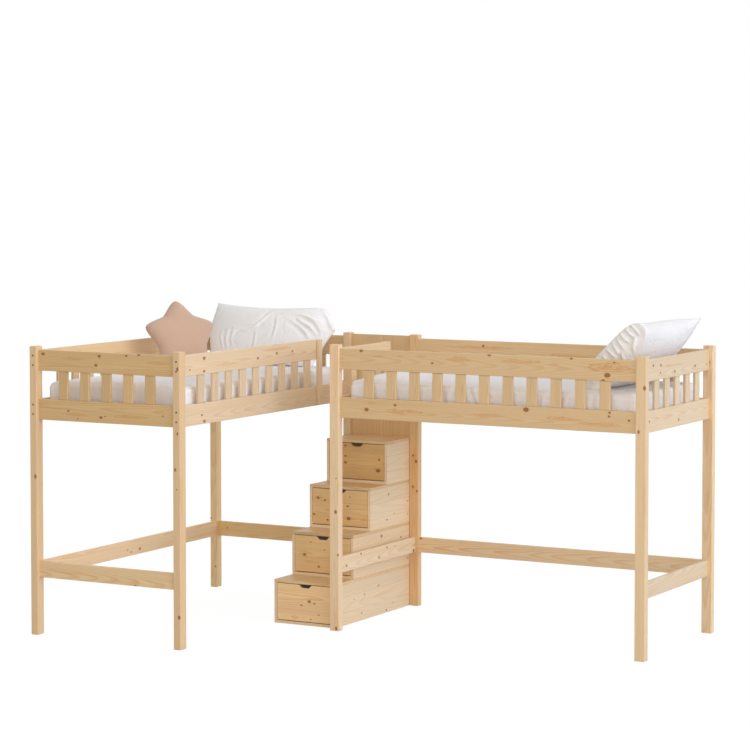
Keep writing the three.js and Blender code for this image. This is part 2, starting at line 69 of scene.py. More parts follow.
# Knots, in millimetres from the middle of the board: along the grain, across it, and their radius
KNOTS = {
    "left_near_end_top_board": [(-460, 40, 9), (-45, 40, 8), (-70, -15, 8), (150, 50, 6), (240, 61, 8)],
    "left_near_end_lower_guard": [(-275, 0, 6), (-35, -30, 8), (-5, -22, 4), (-205, -44, 4), (410, 0, 4)],
    "left_open_side_top_board": [
        (-575, 32, 10), (-575, -46, 8), (-733, -26, 5), (40, -9, 8), (267, 7, 8), (456, 8, 7),
    ],
    "left_open_side_lower_guard": [(-760, -47, 9), (-786, -8, 7)],
    "left_post_near_open": [(785, 9, 8), (402, 8, 6), (188, -9, 7), (71, 1, 4), (-690, 16, 9)],
    "left_post_near_wall": [(89, 14, 9)],
    "left_post_far_wall": [(-413, -17, 5), (-743, 16, 5)],
    "left_wall_side_stretcher": [(60, -17, 9), (-38, -26, 5), (-80, -9, 5), (-839, -8, 5)],
    "right_open_side_top_board": [
        (-835, 55, 8), (-345, -3, 6), (37, 62, 9), (572, 60, 7), (802, -30, 13), (776, -62, 8), (846, 45, 5),
    ],
    "right_open_side_lower_guard": [
        (-797, -5, 10), (-599, 31, 7), (281, 45, 13), (817, 52, 6), (814, 30, 6), (940, 12, 6),
    ],
    "right_post_far_open": [(705, 24, 9), (450, -12, 7)],
    "right_far_end_top_board": [
        (-379, 24, 8), (-267, 19, 8), (-274, -24, 6), (-52, -32, 8), (264, -21, 8), (450, -22, 5),
    ],
    "right_far_end_lower_guard": [(10, -25, 8), (-439, 2, 8)],
    "right_post_far_wall": [(783, 4, 8)],
    "right_post_near_open": [(-146, 10, 9), (-412, 28, 6), (-868, 14, 8), (62, 14, 4)],
    "right_post_near_wall": [(61, 17, 8), (99, -5, 6), (-106, -5, 6), (-133, 24, 6)],
    "right_wall_side_stretcher": [(-964, 42, 6)],
    "right_near_end_stretcher": [
        (-413, -14, 7), (-230, 36, 7), (3, -18, 7), (109, 32, 6), (216, 27, 4), (470, -37, 9),
    ],
    "drawer_front_4": [(-83, 97, 6), (-83, 30, 6), (-83, -12, 7), (164, 18, 6), (157, -53, 11)],
    "drawer_front_3": [
        (-160, 54, 8), (-108, 41, 6), (-190, -54, 6), (-90, -85, 6), (75, 72, 4), (57, 13, 6), (64, -66, 10),
    ],
    "drawer_front_2": [(-87, 75, 4), (15, 35, 4), (-131, -7, 9), (-28, -76, 6)],
    "drawer_front_1": [(31, 14, 9), (-26, -13, 5), (67, 4, 5), (100, -64, 4), (42, -97, 4)],
    "stair_box_1": [(53, 62, 6), (-130, 32, 5), (-264, 20, 4), (-168, -82, 5), (246, -75, 4), (159, -112, 6)],
    "stair_box_2": [(-17, 99, 9), (244, 60, 6)],
    "stair_box_3": [(-34, 81, 6), (46, -50, 4), (-54, -80, 6)],
}

KNOT_SHARE = 0.95  # of a knot's radius that is inside its bark line
KNOT_SLIMNESS = 0.72  # its width over its length
KNOT_DEPTH_STRETCH = 1.6  # its width over its depth
KNOT_REACH = 3.4  # how many radii away the grain still bends
KNOT_PULL = 0.85  # how far it bends beside the knot, as a share of the distance
FAR_OFF = 100.0  # a distance in radii at which no knot shows

# Wild knots, which no list places: cells to the metre, share of cells without one, and radii in metres
WILD_CELLS = 6.2
WILD_ABSENT = 0.72
WILD_LEAST = 2.2 * MM
WILD_SPREAD = 7.5 * MM

# Flames, in millimetres from the middle of the board: along the grain, across it, half length, half height
FLAMES = {
    "right_open_side_top_board": [
        (-715, 25, 60, 7), (-565, 32, 30, 6), (-420, 35, 42, 7), (-165, 26, 95, 17), (245, 28, 140, 15),
        (460, 20, 40, 8), (815, 14, 165, 34),
    ],
    "right_open_side_lower_guard": [
        (-765, 40, 40, 7), (-540, -8, 150, 18), (40, 0, 120, 12), (525, 3, 140, 15), (755, -20, 160, 15),
    ],
    "left_near_end_top_board": [(-240, 18, 95, 11), (380, 14, 100, 11)],
    "left_near_end_lower_guard": [(-225, -20, 110, 11), (175, -16, 145, 13)],
    "drawer_front_1": [(-72, -90, 30, 16)],
    "drawer_front_2": [(-80, -50, 65, 11)],
    "drawer_front_3": [(180, -70, 35, 7), (-155, 56, 40, 13)],
    "right_wall_side_top_board": [(-540, 20, 290, 13), (120, -10, 200, 12)],
    "right_far_end_top_board": [(-85, 8, 200, 8)],
    "left_open_side_top_board": [(-310, -20, 145, 10), (280, 34, 200, 12)],
}

FLAME_LOOPS = 2.1  # how many loops lie inside one another
WILD_FLAMES = 0.4  # how strongly flames that no list places show

# Noise in the wood and the cloth: cells to the metre along, across and through
FLAME_WAVER = (14, 60, 60)
SLOW_WANDER = (0.9, 4, 4)
QUICK_WANDER = (3.5, 22, 22)
FIBRES = (7, 420, 420)
PATCHES = (0.9, 24, 24)
HILLS = (2, 26, 26)
SCRATCHES = (20, 420, 420)
BANDS = (1.3, 110, 110)
RAGGED_RIM = (110, 110, 110)
SLUBS = (60, 60, 60)
CRUMPLES = (9, 9, 9)
WEAR = (900, 900, 900)

# How far the rings wander, in metres
SLOW_SWAY = 0.03
QUICK_SWAY = 0.005

# Where each feature fades in or out: shares of a ring or of its noise, or radii of a knot
LATE_RISE = (0.35, 0.88)
LATE_FALL = (0.9, 1.0)
PATCH_EDGE = (0.5, 0.78)
HILL_EDGE = (0.62, 0.68)
SCRATCH_EDGE = (0.68, 0.8)
HALO_EDGE = (0.9, 1.9)
KNOT_EDGE = (0.92, 1.08)
RIM_EDGE = (0.6, 0.95)

# How strongly each feature colours the wood
PATCH_SHARE = 0.2
FLAME_SHARE = 0.68
SCRATCH_SHARE = 0.5
HALO_SHARE = 0.35
SWIRL_SHARE = 0.35
RIM_SHARE = 0.85
FIBRE_SWING = 0.13
BAND_SWING = 0.12

# Where a board's pith lies and how it drifts, in metres, and how far apart the patterns of two boards are
PITH_ACROSS = 0.045
PITH_DEPTHS = (0.035, 0.08)
DRIFTS = (0.012, 0.03)
SEEDS = 60
SEED_SPREAD = 40

# Boards darker (under 1) or paler (over 1) than their neighbours. Every row whose name is in a board's
# counts. Some rows are a board's own tone, and some are painted light and shade, as marked below
TONES_AND_PAINTED_LIGHT = {
    "post": (1.06, 1.06, 1.05),
    "stair_box": (1.13, 1.17, 1.24),
    # Painted light: the upper stair boxes paler, against the shade of the bed above them
    "stair_box_3": (1.03, 1.04, 1.06),
    "stair_box_4": (1.05, 1.07, 1.1),
    "tread": (1.04, 0.98, 0.86),
    # Painted shade: the back panel darker and warmer, as it stands in the shade under the right bed
    "back_panel": (1, 0.92, 0.78),
    "right_open_side": (0.97, 0.92, 0.82),
    "right_far_end": (1.04, 1.09, 1.18),
    "right_near_end_stretcher": (1.16, 1.22, 1.33),
    "left_open_side": (1.02, 1.06, 1.16),
    # Painted shade: the left bed's near end darker, as less light falls on it
    "left_near_end": (0.9, 0.82, 0.62),
    "left_near_end_stretcher": (1.17, 1.26, 1.53),
    "left_wall_side_stretcher": (1.2, 1.2, 1.18),
    "left_far_end_stretcher": (1.18, 1.14, 1),
    "left_post_far_wall": (1.14, 1.11, 0.98),
    "left_far_end": (0.98, 0.94, 0.84),
    # Painted shade: the left bed's near posts darker, as less light falls on them
    "left_post_near_open": (0.9, 0.86, 0.81),
    "left_post_near_wall": (0.98, 0.94, 0.88),
    "wall_side_top_board": (1.02, 0.98, 0.9),
    # Painted shade: the right bed's near post by the wall darker, in the shade of the beds
    "right_post_near_wall": (1, 0.9, 0.74),
    "right_post_far_wall": (1.1, 1.1, 1.12),
    "right_post_near_open": (1.06, 1.07, 1.12),
    "right_wall_side_stretcher": (1.18, 1.19, 1.22),
    # Painted light and shade: the drawer fronts paler at the bottom, where more light falls, and darker
    # towards the top, under the beds
    "drawer_front_1": (1.42, 1.46, 1.55),
    "drawer_front_2": (1.2, 1.22, 1.15),
    "drawer_front_3": (1.14, 1.12, 1),
    "drawer_front_4": (1.05, 1, 0.8),
}

# Panels glued up from strips this wide, in millimetres
STRIP_WIDTH = 96
PANELS = ("stair_box", "drawer_front", "tread", "back_panel")

# How strongly the rings show
FULL_FIGURE = 1.0
PLAIN_FIGURE = 0.5
STRONG_FIGURE = 1.5
STRONG = ("drawer_front", "back_panel", "right_post_near_wall", "left_near_end", "right_wall_side")

# Bolt heads on the left bed's end posts: millimetres above the floor
BOLT_HEIGHTS = (1712.5, 1654.5, 1413.5, 1355.5)
BOLT_POSTS = ("left_post_near_wall", "left_post_near_open", "left_post_far_wall", "left_post_far_open")
# Screws on the stair's outer side: millimetres from its back edge, and above the floor
SCREW_SET = 49
SCREW_HEIGHTS = (687, 605, 313)


def linear(red, green, blue):
    """The scene's own colour values for a colour written as 0 to 255."""
    shares = (channel / 255 for channel in (red, green, blue))
    return tuple(share / 12.92 if share <= 0.04045 else ((share + 0.055) / 1.055) ** 2.4 for share in shares)


def color_setting(name, about, color):
    values = {"subtype": "COLOR", "min": 0, "max": 1, "default": linear(*color)}
    return FloatVectorProperty(name=name, description=about, **values)


def length_setting(name, about, millimetres):
    return FloatProperty(name=name, description=about, unit="LENGTH", default=millimetres * MM)


def share_setting(name, about, share):
    return FloatProperty(name=name, description=about, subtype="FACTOR", default=share)


class LoftPine(bpy.types.PropertyGroup):
    """Colours and figure of the boards."""

    early: color_setting("Early wood", "Pale wood between the ring lines", (227, 198, 156))
    late: color_setting("Late wood", "Ring lines", (205, 158, 100))
    amber: color_setting("Amber", "Warmer patches in the heartwood", (214, 168, 112))
    flame: color_setting("Flame", "Looped lines where a ring just meets the face", (208, 146, 74))
    knot: color_setting("Knot", "Middle of a knot", (150, 84, 22))
    knot_rim: color_setting("Knot rim", "Bark line round a knot", (48, 24, 2))
    # Darker and warmer than the other boards: partly the drawers' own redder wood, partly painted shade, as
    # they stand under the beds
    drawer_tint: color_setting("Drawer tint", "Multiplies the colours on drawers", (246, 236, 218))
    ring_spacing: length_setting("Ring spacing", "Distance from ring to ring", 5.5)


class LoftBedding(bpy.types.PropertyGroup):
    """Sizes and colours of the soft goods."""

    ticking: color_setting("Mattress cover", "Woven cover of both mattresses", (244, 241, 239))
    cotton: color_setting("Pillow case", "Cotton of both pillows", (247, 244, 239))
    velour: color_setting("Star velour", "Short pile of the star cushion", (203, 169, 143))
    pillow_height_left: length_setting("Left pillow", "Height of its case", 465)
    pillow_height_right: length_setting("Right pillow", "Height of its case", 570)


class LoftFittings(bpy.types.PropertyGroup):
    """Sizes and colours of the metal fittings."""

    steel: color_setting("Bolt steel", "Dark zinc of the bolt heads", (74, 62, 50))
    bolt_radius: length_setting("Bolt head", "Radius of a bolt head", 5)
    screw_radius: length_setting("Screw head", "Radius of a screw head", 4)


class LoftStage(bpy.types.PropertyGroup):
    """Light, floor and camera."""

    key: FloatProperty(name="Key light", description="Strength of the sun lamp", default=2.0)
    shadows: share_setting("Shadows", "Share of the sun lamp that casts shadows", 0.7)
    fill: FloatProperty(name="Fill light", description="Strength of the white surroundings", default=0.42)
    overhead: FloatProperty(name="Overhead", description="What the surroundings gain overhead", default=0.4)
    front: FloatProperty(name="Front light", description="Watts of the lamp before the right bed", default=60)
    floor_white: share_setting("Floor white", "Share of plain white in the floor", 0.9)
    floor_bounce: share_setting("Floor bounce", "Share of light that the floor throws back", 0.5)
    lens: FloatProperty(name="Lens", description="Focal length in millimetres", default=124.35)


def reckon(operation, turned=False):
    """A method that adds a math node for a wire and another value, with the other one first if turned."""

    def method(wire, other):
        return wire.wires.math(operation, *((other, wire) if turned else (wire, other)))

    return method


class Wire:
    """What a node puts out. Reckoning with it adds math nodes."""

    def __init__(self, wires, socket):
        self.wires, self.socket = wires, socket

    def __abs__(self):
        return self.wires.math("ABSOLUTE", self)

    __add__ = reckon("ADD")
    __sub__ = reckon("SUBTRACT")
    __rsub__ = reckon("SUBTRACT", turned=True)
    __mul__ = reckon("MULTIPLY")
    __truediv__ = reckon("DIVIDE")
    __rtruediv__ = reckon("DIVIDE", turned=True)
    __pow__ = reckon("POWER")


# The Mix node's sockets for each kind of value: first, second and result
MIX_SOCKETS = {"FLOAT": (2, 3, 0), "VECTOR": (4, 5, 1), "RGBA": (6, 7, 2)}


class Wiring:
    """Adds nodes to one tree and joins them. An input takes a wire or a plain value."""

    def __init__(self, tree):
        self.tree = tree

    def feed(self, node, values):
        for name, value in values.items():
            socket = node.inputs[name]
            if isinstance(value, Wire):
                self.tree.links.new(value.socket, socket)
            else:
                solid = socket.type == "RGBA" and len(value) == 3
                socket.default_value = (*value, 1) if solid else value

    def add(self, kind, values=None, **settings):
        node = self.tree.nodes.new("ShaderNode" + kind)
        for key, value in settings.items():
            setattr(node, key, value)
        self.feed(node, values or {})
        return node

    def named(self, node):
        """A node's outputs, by name."""
        return {output.name: Wire(self, output) for output in node.outputs}

    def made(self, kind, values=None, output=0, **settings):
        """One output of a new node."""
        return Wire(self, self.add(kind, values, **settings).outputs[output])

    def math(self, operation, *values):
        return self.made("Math", dict(enumerate(values)), operation=operation)

    def length(self, x, y, z=0.0):
        return self.made("VectorMath", {0: self.join(x, y, z)}, "Value", operation="LENGTH")

    def split(self, vector):
        return list(self.named(self.add("SeparateXYZ", {0: vector})).values())

    def join(self, x, y, z):
        return self.made("CombineXYZ", {0: x, 1: y, 2: z})

    def mix(self, factor, first, second, kind="FLOAT", blend="MIX"):
        """The first value where the factor is 0, and the second where it is 1."""
        one, two, output = MIX_SOCKETS[kind]
        values = {0: factor, one: first, two: second}
        return self.made("Mix", values, output, data_type=kind, blend_type=blend)

    def color(self, factor, first, second, blend="MIX"):
        return self.mix(factor, first, second, "RGBA", blend)

    def shaded(self, color, share):
        """A colour with every channel times a share."""
        return self.color(1.0, color, self.join(share, share, share), "MULTIPLY")

    def rise(self, value, low, high):
        """0 below low and 1 above high, with a soft step between them."""
        return self.made("MapRange", {0: value, 1: low, 2: high}, interpolation_type="SMOOTHSTEP")

    def white_noise(self, number):
        return self.made("TexWhiteNoise", {"W": number}, noise_dimensions="1D")

    def cloud(self, place, cells, seed=0.0, detail=2.0):
        """Smooth noise about 0.5, with this many cells to the metre along each axis."""
        scaled = self.made("VectorMath", {0: place, 1: cells}, operation="MULTIPLY")
        values = {"Vector": scaled, "W": seed, "Scale": 1.0, "Detail": detail}
        return self.made("TexNoise", values, noise_dimensions="4D")

    def group(self, name, values):
        return self.named(self.add("Group", values, node_tree=bpy.data.node_groups[name]))


def vary(value, swing):
    """1 where the value is 0.5, and half the swing less or more where it is 0 or 1."""
    return value * swing + (1 - swing / 2)


def bare_wiring(owner):
    """The emptied nodes of a material or a world."""
    owner.use_nodes = True
    owner.node_tree.nodes.clear()
    return Wiring(owner.node_tree)


def new_group(name, given, made):
    """A group of named inputs and outputs. An input with no default is a vector, and a tuple is a colour."""
    tree = bpy.data.node_groups.new(name, "ShaderNodeTree")
    for label, value in given.items():
        kind = "Vector" if value is None else "Color" if isinstance(value, tuple) else "Float"
        socket = tree.interface.new_socket(name=label, in_out="INPUT", socket_type="NodeSocket" + kind)
        if value is not None:
            socket.default_value = value
    for label in made:
        kind = "Color" if label == "Color" else "Float"
        tree.interface.new_socket(name=label, in_out="OUTPUT", socket_type="NodeSocket" + kind)
    wires = Wiring(tree)
    return wires, wires.named(tree.nodes.new("NodeGroupInput")), tree.nodes.new("NodeGroupOutput")


def knot_depth(wires, z, half_depth):
    """How far below the board's face a place is, stretched, so that a knot soon ends inside the board."""
    return wires.math("MAXIMUM", half_depth - abs(z), 0.0) * KNOT_DEPTH_STRETCH


def grain_pull(wires, across, distance):
    """How far the rings beside a knot bend round it."""
    weight = wires.math("EXPONENT", (distance / KNOT_REACH) ** 2 * -1.0)
    return across * weight * -KNOT_PULL


def make_knot_group():
    """One knot: how near it is, in knot radii, and how far it bends the grain."""
    given = {"Board place": None, "Along": 0.0, "Across": 0.0, "Radius": 0.01, "Half depth": 0.011}
    wires, entry, end = new_group("knot", {**given, "Nearest": FAR_OFF, "Bend": 0.0}, ("Nearest", "Bend"))
    x, y, z = wires.split(entry["Board place"])
    along, across = x - entry["Along"], y - entry["Across"]
    away = wires.length(along * KNOT_SLIMNESS, across, knot_depth(wires, z, entry["Half depth"]))
    distance = away / entry["Radius"]
    nearest = wires.math("MINIMUM", distance, entry["Nearest"])
    wires.feed(end, {"Nearest": nearest, "Bend": grain_pull(wires, across, distance) + entry["Bend"]})


def make_flame_group():
    """One flame: nested loops with pointed ends, where a ring only just meets the board's face."""
    given = {"Board place": None, "Along": 0.0, "Across": 0.0, "Half length": 0.1, "Half height": 0.01}
    wires, entry, end = new_group("flame", {**given, "Flame": 0.0}, ("Flame",))
    x, y, _ = wires.split(entry["Board place"])
    waver = wires.cloud(entry["Board place"], FLAME_WAVER, 1.0) - 0.5
    along = (x - entry["Along"]) / entry["Half length"]
    across = abs(waver * 1.5 + (y - entry["Across"]) / entry["Half height"])
    reach = waver * 0.6 + (along * along + across)
    loops = wires.math("PINGPONG", reach * FLAME_LOOPS, 0.5)
    line = wires.rise(loops, 0.2, 0.42) * 0.8 + 0.2
    inside = 1.0 - wires.rise(reach, 0.75, 1.0)
    wires.feed(end, {"Flame": wires.math("MAXIMUM", line * inside, entry["Flame"])})


def wild_knots(wires, entry, x, y, z):
    """Knots that no list places: a cell of a loose pattern holds one or none."""
    seed = entry["Seed"]
    place = wires.join(x * WILD_CELLS + seed * 13.7, y * WILD_CELLS + seed * 5.3, 0.0)
    values = {"Vector": place, "Scale": 1.0, "Randomness": 0.9}
    cell = wires.named(wires.add("TexVoronoi", values, voronoi_dimensions="2D"))
    size, presence, _ = wires.named(wires.add("SeparateColor", {0: cell["Color"]})).values()
    radius = size**2 * WILD_SPREAD + WILD_LEAST
    depth = knot_depth(wires, z, entry["Half depth"])
    distance = wires.length(cell["Distance"] / WILD_CELLS, depth) / radius
    absent = wires.math("LESS_THAN", presence, WILD_ABSENT)
    distance = wires.math("MAXIMUM", absent, 1.0 - entry["Wild knots"]) * FAR_OFF + distance
    away = wires.made("VectorMath", {0: place, 1: cell["Position"]}, operation="SUBTRACT")
    return distance, grain_pull(wires, wires.split(away)[1] / WILD_CELLS, distance)


def make_pine_group(pine):
    """Rings round a pith that lies beside the board, fibres, amber patches and knots."""
    given = {
        "Board place": None,
        "Pith across": 0.0,
        "Pith depth": 0.05,
        "Drift": 0.01,
        "Ring spacing": pine.ring_spacing,
        "Seed": 0.0,
        "Tint": (1, 1, 1, 1),
        "Nearest": FAR_OFF,
        "Bend": 0.0,
        "Wild knots": 1.0,
        "Half depth": 0.011,
        "Figure": 0.6,
        "Wild flames": 1.0,
        "Flame": 0.0,
    }
    wires, entry, end = new_group("pine board", given, ("Color", "Roughness", "Height"))
    place, seed = entry["Board place"], entry["Seed"]
    x, y, z = wires.split(place)
    distance, pull = wild_knots(wires, entry, x, y, z)
    nearest = wires.math("MINIMUM", entry["Nearest"], distance)
    bend = entry["Bend"] + pull

    # Rings
    slow = wires.cloud(place, SLOW_WANDER, seed) - 0.5
    quick = wires.cloud(place, QUICK_WANDER, seed) - 0.5
    wander = quick * QUICK_SWAY + slow * SLOW_SWAY
    across = y + bend - entry["Pith across"] + wander
    radius = entry["Drift"] * x + (wires.length(across, z - entry["Pith depth"]) + wander)
    ring = wires.math("FRACT", radius / entry["Ring spacing"])
    late = wires.rise(ring, *LATE_RISE) * (1.0 - wires.rise(ring, *LATE_FALL))

    # Fibres, patches, and the flames: loops that show where a ring only just meets the face
    bent = wires.join(x, y + bend, z)
    fibre = wires.cloud(place, FIBRES, seed, 3)
    patch = wires.rise(wires.cloud(place, PATCHES, seed + 7, 3), *PATCH_EDGE)
    hill = wires.cloud(bent, HILLS, seed + 11, 0.4)
    loops = wires.math("PINGPONG", hill * 15, 0.5)
    wild_flame = wires.rise(hill, *HILL_EDGE) * (wires.rise(loops, 0.1, 0.4) * 0.7 + 0.3)
    flame = wires.math("MAXIMUM", wild_flame * entry["Wild flames"], entry["Flame"])
    scratch = wires.rise(wires.cloud(bent, SCRATCHES, seed + 23, 1), *SCRATCH_EDGE)
    body = wires.color(late * (patch * 0.4 + 0.3) * entry["Figure"], tuple(pine.early), tuple(pine.late))
    body = wires.color(patch * PATCH_SHARE, body, tuple(pine.amber))
    body = wires.color(flame * FLAME_SHARE, body, tuple(pine.flame))
    body = wires.color(scratch * SCRATCH_SHARE, body, tuple(pine.flame))
    band = wires.cloud(bent, BANDS, seed + 31, 1)
    body = wires.shaded(body, vary(fibre, FIBRE_SWING) * vary(band, BAND_SWING))

    # Knots
    ragged = (wires.cloud(place, RAGGED_RIM, seed) - 0.5) * 0.5 + nearest
    halo = 1.0 - wires.rise(ragged, *HALO_EDGE)
    inside = 1.0 - wires.rise(ragged, *KNOT_EDGE)
    rim = wires.rise(ragged, *RIM_EDGE) * inside
    swirl = wires.math("SINE", ragged * 17) * 0.5 + 0.5
    body = wires.color(halo * HALO_SHARE, body, tuple(pine.flame))
    wood = wires.color(swirl * SWIRL_SHARE, tuple(pine.knot), tuple(pine.amber))
    wood = wires.color(rim * RIM_SHARE, wood, tuple(pine.knot_rim))
    body = wires.color(inside, body, wood)
    values = {
        "Color": wires.color(1.0, body, entry["Tint"], "MULTIPLY"),
        "Roughness": inside * -0.1 + (fibre * 0.08 + (late * 0.07 + 0.44)),
        "Height": rim * -0.6 + (late * 0.35 + fibre * 0.6),
    }
    wires.feed(end, values)


def surface(name):
    """An empty material with its Principled shader."""
    material = bpy.data.materials.new(name)
    wires = bare_wiring(material)
    shader = wires.add("BsdfPrincipled")
    wires.add("OutputMaterial", {"Surface": Wire(wires, shader.outputs[0])})
    return material, wires, shader


def board_place(wires, middle, grain, across):
    """Object coordinates turned so that x runs along the grain and y across the board, from its middle."""
    turn = Matrix((grain, across, grain.cross(across))).transposed().to_euler()
    values = {"Vector": wires.made("TexCoord", output="Object"), "Location": middle, "Rotation": turn}
    return wires.made("Mapping", values, vector_type="TEXTURE")


def slat_places(wires, place, chance):
    """Above a guard's board, each slat has its own upright grain, and a painted shadow, a dark line, at both
    of its ends where it meets the boards.
    """
    x, y, z = wires.split(place)
    half_board, half_free = BOARD_HEIGHT / 2 * MM, SLAT_FREE / 2 * MM
    number = wires.math("ROUND", x / (SLAT_PITCH * MM))
    above = y - (half_board + SLAT_BODY_LENGTH / 2 * MM)
    upright = wires.join(number * 0.9 + above, number * (-SLAT_PITCH * MM) + x, z)
    is_slat = wires.math("GREATER_THAN", y, half_board)
    from_end = half_free - abs(y - (half_board + half_free))
    # Painted shadow: a slat darkens within a few millimetres of each end, where it meets a board
    joint_line_and_end_shade = wires.mix(is_slat, 1.0, wires.rise(from_end, 2 * MM, 5 * MM) * 0.35 + 0.65)
    return is_slat, wires.mix(is_slat, place, upright, "VECTOR"), wires.white_noise(number + chance), joint_line_and_end_shade


def strip_places(wires, place, chance):
    """A glued panel: each strip across the grain has its own figure, with a fine line at the joint."""
    x, y, z = wires.split(place)
    strips = y / (STRIP_WIDTH * MM) + chance
    number = wires.math("FLOOR", strips)
    joint_line_and_end_shade = wires.rise(wires.math("PINGPONG", strips, 0.5), 0.004, 0.016) * 0.2 + 0.8
    return wires.join(number * 1.3 + x, y, z), wires.white_noise(number), joint_line_and_end_shade


def board_axes(name):
    """Along the grain, and across the widest face."""
    if "post" in name or "back_panel" in name:
        return Z_AXIS, X_AXIS
    if "cleat" in name:
        return Z_AXIS, Y_AXIS
    if name.startswith("drawer_front"):
        return X_AXIS, Z_AXIS
    if name.startswith(("drawer_box", "stair_box")):
        return Y_AXIS, Z_AXIS
    if "tread" in name:
        return X_AXIS, Y_AXIS
    if "slat_roll" in name:
        return (Y_AXIS, X_AXIS) if name.startswith("right") else (X_AXIS, Y_AXIS)
    low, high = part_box(name)
    return (X_AXIS if high.x - low.x > high.y - low.y else Y_AXIS), Z_AXIS


def dress_board(name, tint):
    """Gives a board pine whose grain, pith and tone are its own; on some boards the tone also holds painted
    light and shade.
    """
    low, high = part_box(name)
    middle = (low + high) / 2
    if "lower_guard" in name:
        middle.z = low.z + BOARD_HEIGHT / 2 * MM
    grain, across = board_axes(name)
    half_depth = abs((high - low).dot(grain.cross(across))) / 2
    material, wires, shader = surface(name + "_pine")
    place = board_place(wires, middle, grain, across)

    chance = random.Random(name)
    pith_across = chance.uniform(-PITH_ACROSS, PITH_ACROSS)
    pith_depth = chance.choice((-1, 1)) * chance.uniform(*PITH_DEPTHS)
    drift = chance.choice((-1, 1)) * chance.uniform(*DRIFTS)
    seed = chance.uniform(0, SEEDS)
    tone = chance.uniform(0.97, 1.03)
    for start, shares in TONES_AND_PAINTED_LIGHT.items():
        if start in name:
            tint = tuple(channel * share for channel, share in zip(tint, shares))
    tint = tuple(channel * tone for channel in tint)

    knots = {"Nearest": FAR_OFF, "Bend": 0.0}
    for along, up, radius in KNOTS.get(name, ()):
        shape = {"Along": along * MM, "Across": up * MM, "Radius": radius * KNOT_SHARE * MM}
        knots = wires.group("knot", {"Board place": place, "Half depth": half_depth, **shape, **knots})
    flames = {"Flame": 0.0}
    for along, up, half_length, half_height in FLAMES.get(name, ()):
        shape = {"Along": along * MM, "Across": up * MM}
        shape.update({"Half length": half_length * MM, "Half height": half_height * MM})
        flames = wires.group("flame", {"Board place": place, **shape, **flames})

    own_seed, lift = seed, None
    # A slat's tone is its own, times the painted shadow at its ends; a panel strip's is its own, times its
    # joint line
    if "lower_guard" in name:
        is_slat, place, draw, joint_line_and_end_shade = slat_places(wires, place, seed)
        pith_across = wires.mix(is_slat, pith_across, draw * (2 * PITH_ACROSS) - PITH_ACROSS)
        own_seed = wires.mix(is_slat, seed, draw * SEED_SPREAD + seed)
        lift = joint_line_and_end_shade * wires.mix(is_slat, 1.0, draw * 0.1 + 0.92)
    elif any(part in name for part in PANELS):
        place, draw, joint_line_and_end_shade = strip_places(wires, place, seed)
        own_seed = draw * SEED_SPREAD + seed
        lift = vary(draw, 0.07) * joint_line_and_end_shade
    plain = name.startswith("stair_box")
    strong = any(part in name for part in STRONG)
    look = wires.group(
        "pine board",
        {
            "Board place": place,
            "Pith across": pith_across,
            "Pith depth": pith_depth,
            "Drift": drift,
            "Seed": own_seed,
            "Tint": wires.shaded(tint, lift) if lift else tint,
            "Half depth": half_depth,
            "Figure": PLAIN_FIGURE if plain else STRONG_FIGURE if strong else FULL_FIGURE,
            "Wild knots": 0.0 if name in KNOTS else 1.0,
            "Wild flames": 0.0 if name in FLAMES or plain else WILD_FLAMES,
            **knots,
            **flames,
        },
    )
    bump = wires.made("Bump", {"Strength": 0.4, "Distance": 0.5 * MM, "Height": look["Height"]})
    values = {"Base Color": look["Color"], "Roughness": look["Roughness"], "Normal": bump}
    wires.feed(shader, {**values, "Coat Weight": 0.35, "Coat Roughness": 0.4})
    for slot in nodes[name].material_slots:
        slot.material = material


class LOFT_OT_timber(bpy.types.Operator):
    """Give every board, post, slat and step its own pine"""

    bl_idname = "loft_bed.timber"
    bl_label = "Pine for the beds and stair"

    def execute(self, context):
        pine = context.scene.loft_pine
        make_knot_group()
        make_flame_group()
        make_pine_group(pine)
        for name in sorted(nodes):
            if not any(soft in name for soft in ("mattress", "pillow", "cushion")):
                dress_board(name, tuple(pine.drawer_tint) if name.startswith("drawer") else (1, 1, 1))
        return {"FINISHED"}


def new_object(name, bm):
    """An object at the origin, from a bmesh that is in place."""
    mesh = bpy.data.meshes.new(name)
    bm.to_mesh(mesh)
    piece = bpy.data.objects.new(name, mesh)
    bpy.context.scene.collection.objects.link(piece)
    return piece


def modified_mesh(piece):
    """What an object's modifiers make of its mesh."""
    return bpy.data.meshes.new_from_object(piece.evaluated_get(bpy.context.evaluated_depsgraph_get()))


def finish_piece(name, bm, material, smooth=True):
    """A piece of the fixed frame."""
    piece = new_object(name, bm)
    bm.free()
    piece.data.materials.append(material)
    for polygon in piece.data.polygons:
        polygon.use_smooth = smooth
    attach(piece, "frame")
    return piece


def make_fabric_group():
    """Plain weave: threads that pass over and under, with uneven yarn and fine crumples."""
    given = {"Place": None, "Thread": 0.9 * MM, "Color": (1, 1, 1, 1), "Crumple": 0.0}
    wires, entry, end = new_group("plain weave", given, ("Color", "Height"))
    place = entry["Place"]
    turns = math.pi / entry["Thread"]
    a, b, c = (wires.math("SINE", axis * turns) for axis in wires.split(place))
    crossing = a * b + b * c + a * c
    slub = wires.cloud(place, SLUBS, 3, 3)
    # A crumple is where a noise passes its middle value
    crumple = 1.0 - wires.rise(abs(wires.cloud(place, CRUMPLES, 5) - 0.5), 0.0, 0.05)
    height = crumple * entry["Crumple"] * -8.0 + (crossing * 0.3 + slub)
    color = wires.shaded(entry["Color"], crossing * 0.012 + vary(slub, 0.06))
    wires.feed(end, {"Color": color, "Height": height})


